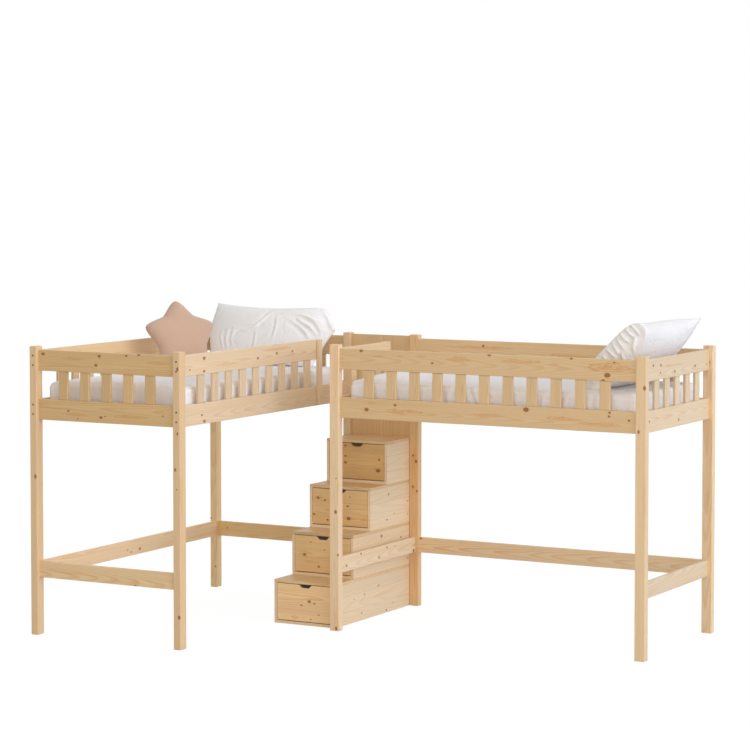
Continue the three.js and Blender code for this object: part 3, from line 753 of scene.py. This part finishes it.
def cloth_material(name, color, thread, sheen, crumple, rough=0.92):
    """Woven cloth, with its thread's width in millimetres."""
    material, wires, shader = surface(name)
    values = {"Place": wires.made("TexCoord", output="Object"), "Thread": thread * MM, "Color": tuple(color)}
    look = wires.group("plain weave", {**values, "Crumple": crumple})
    bump = wires.made("Bump", {"Strength": 0.5, "Distance": 0.4 * MM, "Height": look["Height"]})
    values = {"Base Color": look["Color"], "Normal": bump, "Roughness": rough}
    wires.feed(shader, {**values, "Sheen Weight": sheen, "Specular IOR Level": 0.25})
    return material


# Mattresses

MATTRESS_CELL = 10 * MM
MATTRESS_EDGE = 34 * MM  # radius of its round edges
MATTRESS_CROWN = 22 * MM  # how much higher it is along its middle, as far as its crown goes
MATTRESS_RISE = 10 * MM  # how much higher it is inside than at its edges
MATTRESS_SLOPE = 130 * MM  # how far inside
MATTRESS_FADE = 200 * MM  # how far the crown takes to end
MATTRESS_SIDE = 40 * MM  # how far in from its edges the sides' folds reach
MATTRESS_WAVE = 2.5 * MM
TOP_WAVES = 4  # cells to the metre
SIDE_FOLDS = (9, 9, 2.2)
SIDE_CREASES = (30, 30, 6)
SIDE_FOLD_DEPTH = 5 * MM
SIDE_CREASE_DEPTH = 1.6 * MM
SIDE_SLACK = 3 * MM  # how far out the sides hang between folds
MATTRESS_TOP_FROM = 60 * MM  # how high above its base the waves of its top begin


def soft_block(low, high, cell):
    """A box of small square faces between two corners."""
    bm = bmesh.new()
    size = high - low
    bmesh.ops.create_cube(bm, size=1)
    bmesh.ops.scale(bm, vec=size, verts=bm.verts)
    bmesh.ops.translate(bm, vec=(low + high) / 2, verts=bm.verts)
    for axis in range(3):
        edges = [e for e in bm.edges if abs((e.verts[0].co - e.verts[1].co)[axis]) > cell * 1.5]
        cuts = max(1, round(size[axis] / cell) - 1)
        bmesh.ops.subdivide_edges(bm, edges=edges, cuts=cuts, use_grid_fill=True)
    return bm


def rounded(point, low, high, radius):
    """Moves a point of a box's skin onto the same box with round edges."""
    inner = Vector(min(max(point[i], low[i] + radius), high[i] - radius) for i in range(3))
    away = point - inner
    return inner + away.normalized() * radius if away.length > 1e-9 else point.copy()


# Folds in the right mattress's long side: width and depth, then points across and up, in millimetres
MATTRESS_FOLDS = (
    (11, 7, (466, 1600), (478, 1500), (492, 1400)),
    (10, 6, (508, 1600), (499, 1500), (497, 1400)),
    (11, 7, (566, 1600), (556, 1500), (550, 1400)),
    (12, 8, (630, 1600), (672, 1510), (712, 1400)),
    (12, 6, (770, 1600), (764, 1500), (772, 1400)),
    (11, 7, (1134, 1600), (1127, 1500), (1120, 1400)),
    (12, 8, (1280, 1600), (1238, 1500), (1205, 1400)),
    (10, 6, (1318, 1600), (1272, 1500), (1235, 1400)),
    (12, 6, (1480, 1600), (1470, 1500), (1462, 1400)),
)


def make_mattress(name, material, crown_end):
    """A covered mattress. Its crown ends at crown_end, in metres along the bed."""
    node = name + "_mattress"
    low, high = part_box(node)
    center = (low + high) / 2
    body_high = Vector((high.x, high.y, high.z - MATTRESS_RISE))
    bm = soft_block(low, body_high, MATTRESS_CELL)
    long_axis = 0 if high.x - low.x > high.y - low.y else 1
    short_axis = 1 - long_axis
    for vertex in bm.verts:
        point = vertex.co.copy()
        eased = rounded(point, low, body_high, MATTRESS_EDGE)
        edges = [min(point[axis] - low[axis], high[axis] - point[axis]) for axis in (0, 1)]
        share_up = (point.z - low.z) / (body_high.z - low.z)
        along, beside = point[long_axis], point[short_axis]
        # The cover hangs in soft upright folds at the sides, and lies in broad ones on top
        fold = noise.noise(Vector((along, beside, point.z)) * Vector(SIDE_FOLDS))
        fine = noise.noise(Vector((along, beside, point.z)) * Vector(SIDE_CREASES) + Z_AXIS * 4)
        side = 1 - min(1, min(edges) / MATTRESS_SIDE)
        inward = (fold * SIDE_FOLD_DEPTH + fine * SIDE_CREASE_DEPTH - SIDE_SLACK) * side
        for axis in (0, 1):
            if edges[axis] < 1e-6:
                eased[axis] += math.copysign(1, eased[axis] - center[axis]) * inward
        if point.z > low.z + MATTRESS_TOP_FROM:
            wave = noise.noise(Vector((point.x * TOP_WAVES, point.y * TOP_WAVES, 2.5)))
            eased.z += wave * MATTRESS_WAVE * (1 - side)
        slope = math.sin(min(1, min(edges) / MATTRESS_SLOPE) * math.pi / 2)
        sideways = (beside - low[short_axis]) / (high[short_axis] - low[short_axis])
        fade = min(1, max(0, (crown_end - along) / MATTRESS_FADE))
        fade *= fade * (3 - 2 * fade)
        crown = MATTRESS_CROWN * math.sin(math.pi * sideways) * fade
        eased.z += (MATTRESS_RISE * slope + crown) * share_up
        vertex.co = eased
    if name == "right":
        press_creases(bm, "side", MATTRESS_FOLDS)
    piece = finish_piece(node + "_cover", bm, material)
    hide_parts(node)
    return piece


class LOFT_OT_mattresses(bpy.types.Operator):
    """Make the two covered mattresses"""

    bl_idname = "loft_bed.mattresses"
    bl_label = "Mattresses"

    def execute(self, context):
        bedding = context.scene.loft_bedding
        make_fabric_group()
        material = cloth_material("ticking_weave", bedding.ticking, thread=1.1, sheen=0.15, crumple=0.6)
        for name, crown_end in (("right", 1.25), ("left", -0.15)):
            make_mattress(name, material, crown_end)
        return {"FINISHED"}


# Pillows and star

# How full a pad is: flat in its middle, and steep at its seam
PAD_BELLY_POWER = 3.4
PAD_EDGE_POWER = 0.55
PILLOW_WIDTH = 840 * MM
PILLOW_THICK = 190 * MM
PILLOW_DRAW = 22 * MM  # how far the middle of each side is drawn in
PILLOW_CELL = 11 * MM
PILLOW_EAR = 14 * MM  # how far its upper corners stick out, and how far its lower ones are drawn in
PILLOW_NIP = 12 * MM
PILLOW_HOLD = 0.72  # where a corner that stays put begins and ends, as shares of its distance both ways
PILLOW_HOLD_EDGE = 0.12
PILLOW_SIDE = 42 * MM  # how far its side beside the star stands out above that corner
PILLOW_TUCK = 60 * MM  # how far the left pillow's lower corner beside the star is drawn in
PILLOW_NOSE = 0.32  # how high the left pillow's side corner is, as a share of half its height
PILLOW_NOSE_REACH = 0.12  # how far above and below it the cloth stays put

# How cloth is blown up: pressure, stiffness, frames, and how far a point may move
PAD_PRESSURE = 5.0
PAD_STIFFNESS = 14
PAD_FRAMES = 20
PAD_MOVE = 34 * MM
PAD_LEAST = 5 * MM  # between its two layers
PAD_SINK = 14 * MM  # how deep a pad sinks into what it rests on, were it not flattened there


def belly(share):
    """How thick a pad is, as a share of its full thickness, this share of the way to its seam."""
    return (1 - min(1, share) ** PAD_BELLY_POWER) ** PAD_EDGE_POWER


def pillow_skin(height, bulge, blunt, soft_corner):
    """Two layers of small faces, joined at the seam, in the flat pattern's plane.

    The end x = half_x stands out by bulge, or is as thick as the pillow if blunt. Its upper corner is
    drawn in by soft_corner.
    """
    bm = bmesh.new()
    width = PILLOW_WIDTH
    columns = round((width + (PILLOW_THICK / 2 if blunt else 0)) / PILLOW_CELL)
    rows = round(height / PILLOW_CELL)
    bmesh.ops.create_grid(bm, x_segments=columns, y_segments=rows, size=1, calc_uvs=True)
    hold = bm.verts.layers.float.new("hold")
    half_x, half_y = width / 2, height / 2
    for vertex in bm.verts:
        s, t = vertex.co.x, vertex.co.y
        depth = 1.0
        if blunt:
            # The cloth turns down at the end x = half_x and runs to the seam in the middle of it
            run = (s + 1) / 2 * (width + PILLOW_THICK / 2)
            depth = min(1, (width + PILLOW_THICK / 2 - run) / (PILLOW_THICK / 2))
            s = min(1, run / half_x - 1)
        room = (1 - abs(t) ** PAD_BELLY_POWER) * (1 if blunt and s > 0 else 1 - abs(s) ** PAD_BELLY_POWER)
        nip = (s * t) ** 8 * (soft_corner if s > 0 and t > 0 else -PILLOW_EAR if t > 0 else PILLOW_NIP)
        beside = (1 - t) / (1 - PILLOW_NOSE) if t > PILLOW_NOSE else (1 + t) / (1 + PILLOW_NOSE)
        swell = bulge * beside**1.3 * max(0, s) ** 2
        tuck = PILLOW_TUCK * max(0, -t) ** 1.3 * max(0, -s) ** 3 if bulge else 0
        side = PILLOW_SIDE * max(0, math.cos((t - 0.25) * math.pi / 1.9)) * max(0, -s) ** 2 if bulge else 0
        # Its lower corner beside the star is tucked in, and the side above that stands out
        x = s * (half_x - PILLOW_DRAW * math.cos(t * math.pi / 2) - nip) + swell + tuck - side
        y = t * (half_y - PILLOW_DRAW * math.cos(s * math.pi / 2) - nip)
        vertex.co = (x, y, depth * max(0, room) ** PAD_EDGE_POWER * PILLOW_THICK / 2)
        nose = bulge > 0 and s > 0.9 and abs(t - PILLOW_NOSE) < PILLOW_NOSE_REACH
        vertex[hold] = 1 if nose else min(1, max(0, (abs(s * t) - PILLOW_HOLD) / PILLOW_HOLD_EDGE))
    mirror_skin(bm)
    return bm


def mirror_skin(bm):
    """Adds the underside and sews both along the edge at z = 0."""
    pair = bm.verts.layers.int.new("pair")
    for number, vertex in enumerate(bm.verts):
        vertex[pair] = number + 1
    copy = bmesh.ops.duplicate(bm, geom=bm.verts[:] + bm.edges[:] + bm.faces[:])["geom"]
    under = [item for item in copy if isinstance(item, bmesh.types.BMVert)]
    for vertex in under:
        vertex[pair] *= -1
    bmesh.ops.scale(bm, vec=(1, 1, -1), verts=under)
    bmesh.ops.remove_doubles(bm, verts=bm.verts[:], dist=0.01 * MM)
    bmesh.ops.recalc_face_normals(bm, faces=bm.faces[:])
    if bm.calc_volume(signed=True) < 0:
        bmesh.ops.reverse_faces(bm, faces=bm.faces[:])


def keep_apart(bm):
    """Where both layers of a skin have crossed near its seam, puts them a little apart."""
    pair = bm.verts.layers.int["pair"]
    uppers = {vertex[pair]: vertex for vertex in bm.verts if vertex[pair] > 0}
    for vertex in bm.verts:
        upper = uppers.get(-vertex[pair])
        if upper:
            lack = PAD_LEAST - (upper.co.z - vertex.co.z)
            if lack > 0:
                upper.co.z += lack / 2
                vertex.co.z -= lack / 2


def blow_up(bm):
    """Lets the case swell as cloth does."""
    scene = bpy.context.scene
    pad = new_object("swelling", bm)
    hold = bm.verts.layers.float["hold"]
    held = pad.vertex_groups.new(name="held")
    for index, vertex in enumerate(bm.verts):
        held.add([index], vertex[hold], "REPLACE")
    cloth = pad.modifiers.new("cloth", "CLOTH")
    settings = {
        "quality": 6,
        "mass": 0.3,
        "tension_stiffness": PAD_STIFFNESS,
        "compression_stiffness": PAD_STIFFNESS,
        "shear_stiffness": PAD_STIFFNESS / 3,
        "bending_stiffness": 0.3,
        "vertex_group_mass": "held",
        "use_pressure": True,
        "uniform_pressure_force": PAD_PRESSURE,
    }
    for key, value in settings.items():
        setattr(cloth.settings, key, value)
    cloth.settings.effector_weights.gravity = 0
    cloth.collision_settings.use_collision = False
    cloth.point_cache.frame_end = PAD_FRAMES
    for frame_number in range(1, PAD_FRAMES + 1):
        scene.frame_set(frame_number)
    swollen = modified_mesh(pad)
    for vertex, after in zip(bm.verts, swollen.vertices):
        move = after.co - vertex.co
        if move.length > PAD_MOVE:
            move *= PAD_MOVE / move.length
        vertex.co += move
    keep_apart(bm)
    bpy.data.objects.remove(pad)
    bpy.data.meshes.remove(swollen)
    scene.frame_set(1)


def finer(bm):
    """The same skin, smoothed once with four faces for each."""
    skin = new_object("skin", bm)
    skin.modifiers.new("finer", "SUBSURF").levels = 1
    smoothed = modified_mesh(skin)
    bm.clear()
    bm.from_mesh(smoothed)
    bpy.data.objects.remove(skin)
    bpy.data.meshes.remove(smoothed)


# How folds are pressed: the faces' axes and outward directions, and a fold's form
CREASE_FACES = {
    "front": ((0, 1), Z_AXIS),
    "back": ((0, 1), -Z_AXIS),
    "end": ((1, 2), X_AXIS),
    "side": ((0, 2), -Y_AXIS),
}
CREASE_SHARE = 0.75  # of a fold's listed width, from its middle to its crest
CREASE_LEAN = 1.8  # how much wider its gentle side is than its steep one
CREASE_REACH = 5  # how many such widths away it ends


def press_creases(bm, face, rows):
    """Presses folds into one face of a pad.

    A row holds a fold's width and depth in millimetres, then points along it. A point is millimetres
    from the pad's middle: along and up on its front or back, up and through on its end.
    """
    axes, outward = CREASE_FACES[face]
    bm.normal_update()
    facing = [(v, (v.normal.dot(outward) - 0.15) / 0.5) for v in bm.verts]
    facing = [(v, min(1, weight)) for v, weight in facing if weight > 0]
    moves = {}
    for width, depth, *points in rows:
        points = [Vector(point) * MM for point in points]
        spread = width * MM * CREASE_SHARE
        for vertex, weight in facing:
            place = Vector((vertex.co[axes[0]], vertex.co[axes[1]]))
            best, side, share = 1e9, 0, 0
            for number in range(len(points) - 1):
                start, end = points[number], points[number + 1]
                run = end - start
                along = min(1, max(0, (place - start).dot(run) / run.length_squared))
                away = place - start - run * along
                if away.length < best:
                    best = away.length
                    side = math.copysign(1, run.cross(away))
                    share = (number + along) / (len(points) - 1)
            if best < spread * CREASE_REACH:
                taper = math.sin(math.pi * share) ** 1.3 if 0 < share < 1 else 0
                # Cloth lies over on one side of a fold, and comes back slowly on the other
                near = best / spread if side > 0 else -best / (spread * CREASE_LEAN)
                height = near * math.exp(0.5 - near * near / 2)
                moves[vertex] = moves.get(vertex, 0) + height * depth * MM * taper * weight
    for vertex, move in moves.items():
        vertex.co += outward * move


# Folds of the left pillow's front
LEFT_FOLDS = (
    (10, 9, (70, 175), (54, 148), (25, 106), (3, 68), (-42, 17), (-83, -2), (-121, -10), (-150, -36),
     (-156, -80)),
    (9, 6, (100, 120), (109, 89), (120, 42), (123, -3), (120, -46), (106, -110)),
    (9, 6, (-22, -10), (-16, -45), (-11, -79), (-15, -125), (-20, -160)),
    (10, 8, (190, 120), (230, 124), (297, 118), (354, 100), (406, 87), (470, 70)),
    (10, 8, (290, 118), (326, 108), (369, 89), (402, 62), (431, 21), (455, -50)),
    (10, 8, (190, 82), (231, 65), (283, 39), (327, 10), (356, -19), (392, -80)),
    (10, 8, (210, 110), (248, 99), (304, 64), (361, 40), (406, 2), (440, -70)),
    (13, 9, (400, 190), (422, 157), (457, 117), (488, 74), (512, 30), (520, -20)),
    (10, 6, (-252, 10), (-248, -35), (-239, -93), (-212, -160)),
    (9, 5, (-200, 20), (-200, -23), (-200, -81), (-165, -150)),
    (9, 5, (-300, 0), (-297, -53), (-271, -105), (-250, -165)),
)
# Folds of the right pillow, on its end and its back
RIGHT_FOLDS_END = (
    (9, 13, (205, 72), (214, 50), (217, 16), (213, -26)),
    (10, 14, (162, 82), (170, 58), (175, 23), (184, -20)),
    (9, 13, (112, 88), (123, 69), (128, 26), (138, -18)),
    (10, 14, (84, 90), (86, 70), (88, 31), (80, -18)),
    (9, 13, (36, 92), (40, 72), (44, 31), (32, -14)),
    (10, 12, (-20, 90), (-14, 73), (0, 31), (2, -14)),
    (11, 14, (190, 0), (174, -15), (137, -37), (104, -75)),
    (10, 10, (60, -10), (40, -40), (30, -80)),
    (10, 10, (-60, 70), (-50, 30), (-56, -10)),
)
RIGHT_FOLDS_BACK = (
    (9, 5, (-60, 250), (-92, 236), (-112, 200), (-100, 160)),
    (14, 6, (400, 60), (330, 90), (250, 84), (170, 96)),
    (12, 5, (-300, 120), (-220, 60), (-120, 30)),
    (12, 5, (380, -40), (300, -20), (190, -40)),
)

STAR_RADIUS = 290 * MM
STAR_WAIST = 170 * MM
STAR_THICK = 135 * MM
STAR_ARMS = 5
STAR_MEAN = 0.88  # height above the middle is this share less its lack, and below it this share more
STAR_LEAN = 18 * MM  # how far its top leans to one side
STAR_ROUNDING = 0.13  # how far round its tips and inner corners are, in radians


def star_skin():
    """A flattened ball whose rim follows the star."""
    bm = bmesh.new()
    bmesh.ops.create_uvsphere(bm, u_segments=150, v_segments=44, radius=1)
    for vertex in bm.verts:
        reach = min(1, math.hypot(vertex.co.x, vertex.co.y))
        angle = math.atan2(-vertex.co.x, vertex.co.y)
        half_arm = math.pi / STAR_ARMS
        beside = abs((angle + half_arm) % (2 * half_arm) - half_arm)
        from_tip = math.hypot(beside, STAR_ROUNDING)
        from_waist = math.hypot(half_arm - beside, STAR_ROUNDING)
        turn = half_arm * from_tip / (from_tip + from_waist)
        radius = STAR_RADIUS * STAR_WAIST * math.sin(half_arm)
        radius /= STAR_RADIUS * math.sin(turn) + STAR_WAIST * math.sin(half_arm - turn)
        share = math.sin(reach * math.pi / 2) if reach < 0.9999 else 1
        up = radius * share * math.cos(angle)
        side = math.copysign(1, vertex.co.z) if abs(vertex.co.z) > 1e-6 else 0
        vertex.co = (
            -radius * share * math.sin(angle) - STAR_LEAN * max(0, up) / STAR_RADIUS,
            STAR_MEAN * up - (1 - STAR_MEAN) * math.hypot(up, STAR_THICK / 2),
            side * belly(share) * STAR_THICK / 2,
        )
    bmesh.ops.recalc_face_normals(bm, faces=bm.faces[:])
    return bm


def stand_pad(bm, node, tilt_deg, turn_deg):
    """Tilts and turns a flat pad, fits it in its solid's place, and flattens it where it rests."""
    turn = Matrix.Rotation(math.radians(turn_deg), 4, "Z") @ Matrix.Rotation(math.radians(tilt_deg), 4, "X")
    bmesh.ops.transform(bm, matrix=turn, verts=bm.verts)
    low = Vector(min(v.co[i] for v in bm.verts) for i in range(3))
    high = Vector(max(v.co[i] for v in bm.verts) for i in range(3))
    solid_low, solid_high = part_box(node)
    rest = solid_low.z
    solid_low.z -= PAD_SINK
    bmesh.ops.translate(bm, vec=-(low + high) / 2, verts=bm.verts)
    fit = Vector((solid_high[i] - solid_low[i]) / (high[i] - low[i]) for i in range(3))
    bmesh.ops.scale(bm, vec=fit, verts=bm.verts)
    bmesh.ops.translate(bm, vec=(solid_low + solid_high) / 2, verts=bm.verts)
    for vertex in bm.verts:
        over = vertex.co.z - rest
        if over < PAD_SINK:
            vertex.co.z = rest + max(0, over + PAD_SINK) ** 2 / (4 * PAD_SINK)


def make_pillow(node, skin, creases, tilt_deg, turn_deg, material):
    """Swells a pillow's skin, presses its folds and leans it in its place."""
    blow_up(skin)
    finer(skin)
    for face, folds in creases.items():
        press_creases(skin, face, folds)
    stand_pad(skin, node, tilt_deg, turn_deg)
    piece = finish_piece(node + "_case", skin, material)
    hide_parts(node)


class LOFT_OT_pillows(bpy.types.Operator):
    """Make the two pillows that lean on the far boards"""

    bl_idname = "loft_bed.pillows"
    bl_label = "Pillows"

    def execute(self, context):
        bedding = context.scene.loft_bedding
        material = cloth_material("cotton_weave", bedding.cotton, thread=0.7, sheen=0.1, crumple=1.0)
        right = pillow_skin(bedding.pillow_height_right, bulge=0.0, blunt=True, soft_corner=8 * MM)
        creases = {"back": RIGHT_FOLDS_BACK, "end": RIGHT_FOLDS_END}
        make_pillow("right_pillow", right, creases, 44, -92, material)
        left = pillow_skin(bedding.pillow_height_left, bulge=118 * MM, blunt=False, soft_corner=12 * MM)
        make_pillow("left_pillow", left, {"front": LEFT_FOLDS}, 60, 0, material)
        return {"FINISHED"}


class LOFT_OT_star(bpy.types.Operator):
    """Make the star cushion"""

    bl_idname = "loft_bed.star"
    bl_label = "Star cushion"

    def execute(self, context):
        velour = context.scene.loft_bedding.velour
        material = cloth_material("velour_pile", velour, thread=0.5, sheen=0.35, crumple=0.0, rough=1.0)
        bm = star_skin()
        stand_pad(bm, "star_cushion", 70, 60)
        piece = finish_piece("star_cushion_case", bm, material)
        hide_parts("star_cushion")
        return {"FINISHED"}


# Fittings, with the parts of a head as shares of its radius
HEAD_HEIGHT = 0.45
HEAD_EDGE = 0.22
HEAD_DOME = 0.14
HEAD_FLAT = 0.24
SOCKET_RADIUS = 0.46
SOCKET_DEPTH = 0.5
BOLT_SET = 2 * MM  # how deep in the post the recess for a head ends
SCREW_SINK = 1 * MM  # how deep in the side a screw's head begins


def bolt_head(bm, center, outward, radius):
    """A round head with a hexagonal socket, facing outward."""
    others = set(bm.verts)
    made = bmesh.ops.create_circle(bm, cap_ends=True, segments=24, radius=radius)["verts"]
    face = made[0].link_faces[0]
    top = bmesh.ops.extrude_face_region(bm, geom=[face])["geom"]
    raised = [v for v in top if isinstance(v, bmesh.types.BMVert)]
    bmesh.ops.translate(bm, vec=(0, 0, radius * HEAD_HEIGHT), verts=raised)
    cap = next(f for f in top if isinstance(f, bmesh.types.BMFace))
    bmesh.ops.inset_region(bm, faces=[cap], thickness=radius * HEAD_EDGE, depth=radius * HEAD_DOME)
    bmesh.ops.inset_region(bm, faces=[cap], thickness=radius * HEAD_FLAT, depth=0)
    for vertex in cap.verts:
        angle = math.atan2(vertex.co.y, vertex.co.x) % (math.pi / 3) - math.pi / 6
        vertex.co.xy = vertex.co.xy.normalized() * radius * SOCKET_RADIUS / math.cos(angle)
    bmesh.ops.inset_region(bm, faces=[cap], thickness=radius * 0.01, depth=-radius * SOCKET_DEPTH)
    verts = [v for v in bm.verts if v not in others]
    turn = Z_AXIS.rotation_difference(outward).to_matrix().to_4x4()
    bmesh.ops.transform(bm, matrix=Matrix.Translation(center) @ turn, verts=verts)


class LOFT_OT_fittings(bpy.types.Operator):
    """Put bolt heads in the left bed's posts and screws in the stair's side"""

    bl_idname = "loft_bed.fittings"
    bl_label = "Bolts and screws"

    def execute(self, context):
        look = context.scene.loft_fittings
        material, wires, shader = surface("dark_zinc")
        worn = wires.cloud(wires.made("TexCoord", output="Object"), WEAR, 2, 3)
        steel = wires.color(worn, tuple(channel * 0.7 for channel in look.steel), tuple(look.steel))
        wires.feed(shader, {"Base Color": steel, "Roughness": worn * 0.2 + 0.3, "Metallic": 0.6})
        bm = bmesh.new()
        for post in BOLT_POSTS:
            low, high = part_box(post)
            outward = -Y_AXIS if "near" in post else Y_AXIS
            face_y = low.y + BOLT_SET if "near" in post else high.y - BOLT_SET
            for height in BOLT_HEIGHTS:
                center = Vector(((low.x + high.x) / 2, face_y, height * MM))
                bolt_head(bm, center, outward, look.bolt_radius)
        finish_piece("bolt_heads", bm, material, smooth=False)
        bm = bmesh.new()
        low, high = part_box("stair_box_1")
        for height in SCREW_HEIGHTS:
            center = Vector((high.x - SCREW_SINK, high.y - SCREW_SET * MM, height * MM))
            bolt_head(bm, center, X_AXIS, look.screw_radius)
        finish_piece("stair_screws", bm, material, smooth=False)
        return {"FINISHED"}


# The camera's place in metres, and the rest of its pose
CAMERA_PLACE = (7.6369, -13.8031, 2.8929)
CAMERA_PITCH_DEG = 86.936
CAMERA_YAW_DEG = 28.932
CAMERA_SHIFT = -0.1

# The key light's direction, and the front lamp's place, aim and width in metres
KEY_FROM = (0.96, -0.2, 0.14)
KEY_COLOR = (0.95, 1.02, 1.24)
KEY_ANGLE_DEG = 60
FRONT_PLACE = (2.6, -5.2, 1.6)
FRONT_AIM = (0.9, 0, 1.2)
FRONT_SIZE = 2.5
FRONT_COLOR = (1, 0.88, 0.72)
FLOOR_HALF = 60  # half its width in metres
FLOOR_GLOW = 1.05


def make_camera(stage):
    """The photo's view."""
    data = bpy.data.cameras.new("camera")
    data.sensor_width = 36
    data.lens = stage.lens
    data.shift_y = CAMERA_SHIFT
    data.clip_end = 200
    camera = bpy.data.objects.new("camera", data)
    camera.location = CAMERA_PLACE
    camera.rotation_euler = (math.radians(CAMERA_PITCH_DEG), 0, math.radians(CAMERA_YAW_DEG))
    bpy.context.scene.collection.objects.link(camera)
    bpy.context.scene.camera = camera


def seen_share(wires):
    """1 for what is seen, straight or in a reflection, and 0 for what only lights the scene."""
    rays = wires.named(wires.add("LightPath"))
    seen = wires.math("MAXIMUM", rays["Is Camera Ray"], rays["Is Glossy Ray"])
    return wires.math("MAXIMUM", seen, rays["Is Transmission Ray"])


def make_world(stage):
    """A white background, which lights the scene more from above than from the sides."""
    world = bpy.data.worlds.new("white_room")
    bpy.context.scene.world = world
    wires = bare_wiring(world)
    up = wires.math("MAXIMUM", wires.split(wires.made("TexCoord", output="Generated"))[2], 0.0)
    strength = wires.mix(seen_share(wires), up * stage.overhead + stage.fill, 1.0)
    room = wires.made("Background", {"Color": (1, 1, 1, 1), "Strength": strength})
    wires.add("OutputWorld", {"Surface": room})


def make_floor(stage):
    """A floor that looks as white as the background, with only a trace of shadow."""
    bm = bmesh.new()
    bmesh.ops.create_grid(bm, x_segments=1, y_segments=1, size=FLOOR_HALF)
    floor = new_object("floor", bm)
    bm.free()
    material = bpy.data.materials.new("floor_white")
    wires = bare_wiring(material)
    seen = seen_share(wires)
    pale = wires.mix(seen, stage.floor_bounce, 0.9)
    matte = wires.made("BsdfDiffuse", {"Color": wires.join(pale, pale, pale)})
    white = wires.made("Emission", {"Color": (1, 1, 1, 1), "Strength": FLOOR_GLOW})
    both = wires.made("MixShader", {0: seen * stage.floor_white, 1: matte, 2: white})
    wires.add("OutputMaterial", {"Surface": both})
    floor.data.materials.append(material)


def add_lamp(name, kind, energy, color, away):
    """A lamp that shines from the direction given towards the beds."""
    data = bpy.data.lights.new(name, kind)
    data.energy = energy
    data.color = color
    lamp = bpy.data.objects.new(name, data)
    lamp.rotation_euler = Vector(away).to_track_quat("Z", "Y").to_euler()
    bpy.context.scene.collection.objects.link(lamp)
    return lamp


def make_lamps(stage):
    """The key light, as one lamp that casts soft shadows and one that fills them, and the front lamp."""
    for name, share in (("key", stage.shadows), ("key_fill", 1 - stage.shadows)):
        key = add_lamp(name, "SUN", stage.key * share, KEY_COLOR, KEY_FROM)
        key.data.angle = math.radians(KEY_ANGLE_DEG)
        key.data.use_shadow = name == "key"
    away = Vector(FRONT_PLACE) - Vector(FRONT_AIM)
    front = add_lamp("front", "AREA", stage.front, FRONT_COLOR, away)
    front.data.size = FRONT_SIZE
    front.location = FRONT_PLACE


class LOFT_OT_stage(bpy.types.Operator):
    """Make the camera, the lights and the white floor"""

    bl_idname = "loft_bed.stage"
    bl_label = "Stage"

    def execute(self, context):
        stage = context.scene.loft_stage
        make_camera(stage)
        make_world(stage)
        make_floor(stage)
        make_lamps(stage)
        context.scene.view_settings.view_transform = "Standard"
        return {"FINISHED"}


OPERATORS = (
    LOFT_OT_stage,
    LOFT_OT_timber,
    LOFT_OT_fittings,
    LOFT_OT_mattresses,
    LOFT_OT_pillows,
    LOFT_OT_star,
)
SETTINGS = (
    ("loft_pine", LoftPine),
    ("loft_bedding", LoftBedding),
    ("loft_fittings", LoftFittings),
    ("loft_stage", LoftStage),
)


class LOFT_PT_panel(bpy.types.Panel):
    """The loft bed's pieces and their settings"""

    bl_idname = "LOFT_PT_panel"
    bl_label = "Loft bed"
    bl_space_type = "VIEW_3D"
    bl_region_type = "UI"
    bl_category = "Loft bed"

    def draw(self, context):
        for operator in OPERATORS:
            self.layout.operator(operator.bl_idname)
        for name, group in SETTINGS:
            box = self.layout.box()
            for setting in group.__annotations__:
                box.prop(getattr(context.scene, name), setting)


def register():
    for _, group in SETTINGS:
        bpy.utils.register_class(group)
    for operator in OPERATORS:
        bpy.utils.register_class(operator)
    bpy.utils.register_class(LOFT_PT_panel)
    for name, group in SETTINGS:
        setattr(bpy.types.Scene, name, PointerProperty(type=group))


def unregister():
    for name, _ in SETTINGS:
        delattr(bpy.types.Scene, name)
    bpy.utils.unregister_class(LOFT_PT_panel)
    for operator in reversed(OPERATORS):
        bpy.utils.unregister_class(operator)
    for _, group in reversed(SETTINGS):
        bpy.utils.unregister_class(group)


def main():
    """Builds every piece."""
    register()
    bpy.ops.loft_bed.stage()
    bpy.ops.loft_bed.timber()
    bpy.ops.loft_bed.fittings()
    bpy.ops.loft_bed.mattresses()
    bpy.ops.loft_bed.pillows()
    bpy.ops.loft_bed.star()


if __name__ == "__main__":
    main()
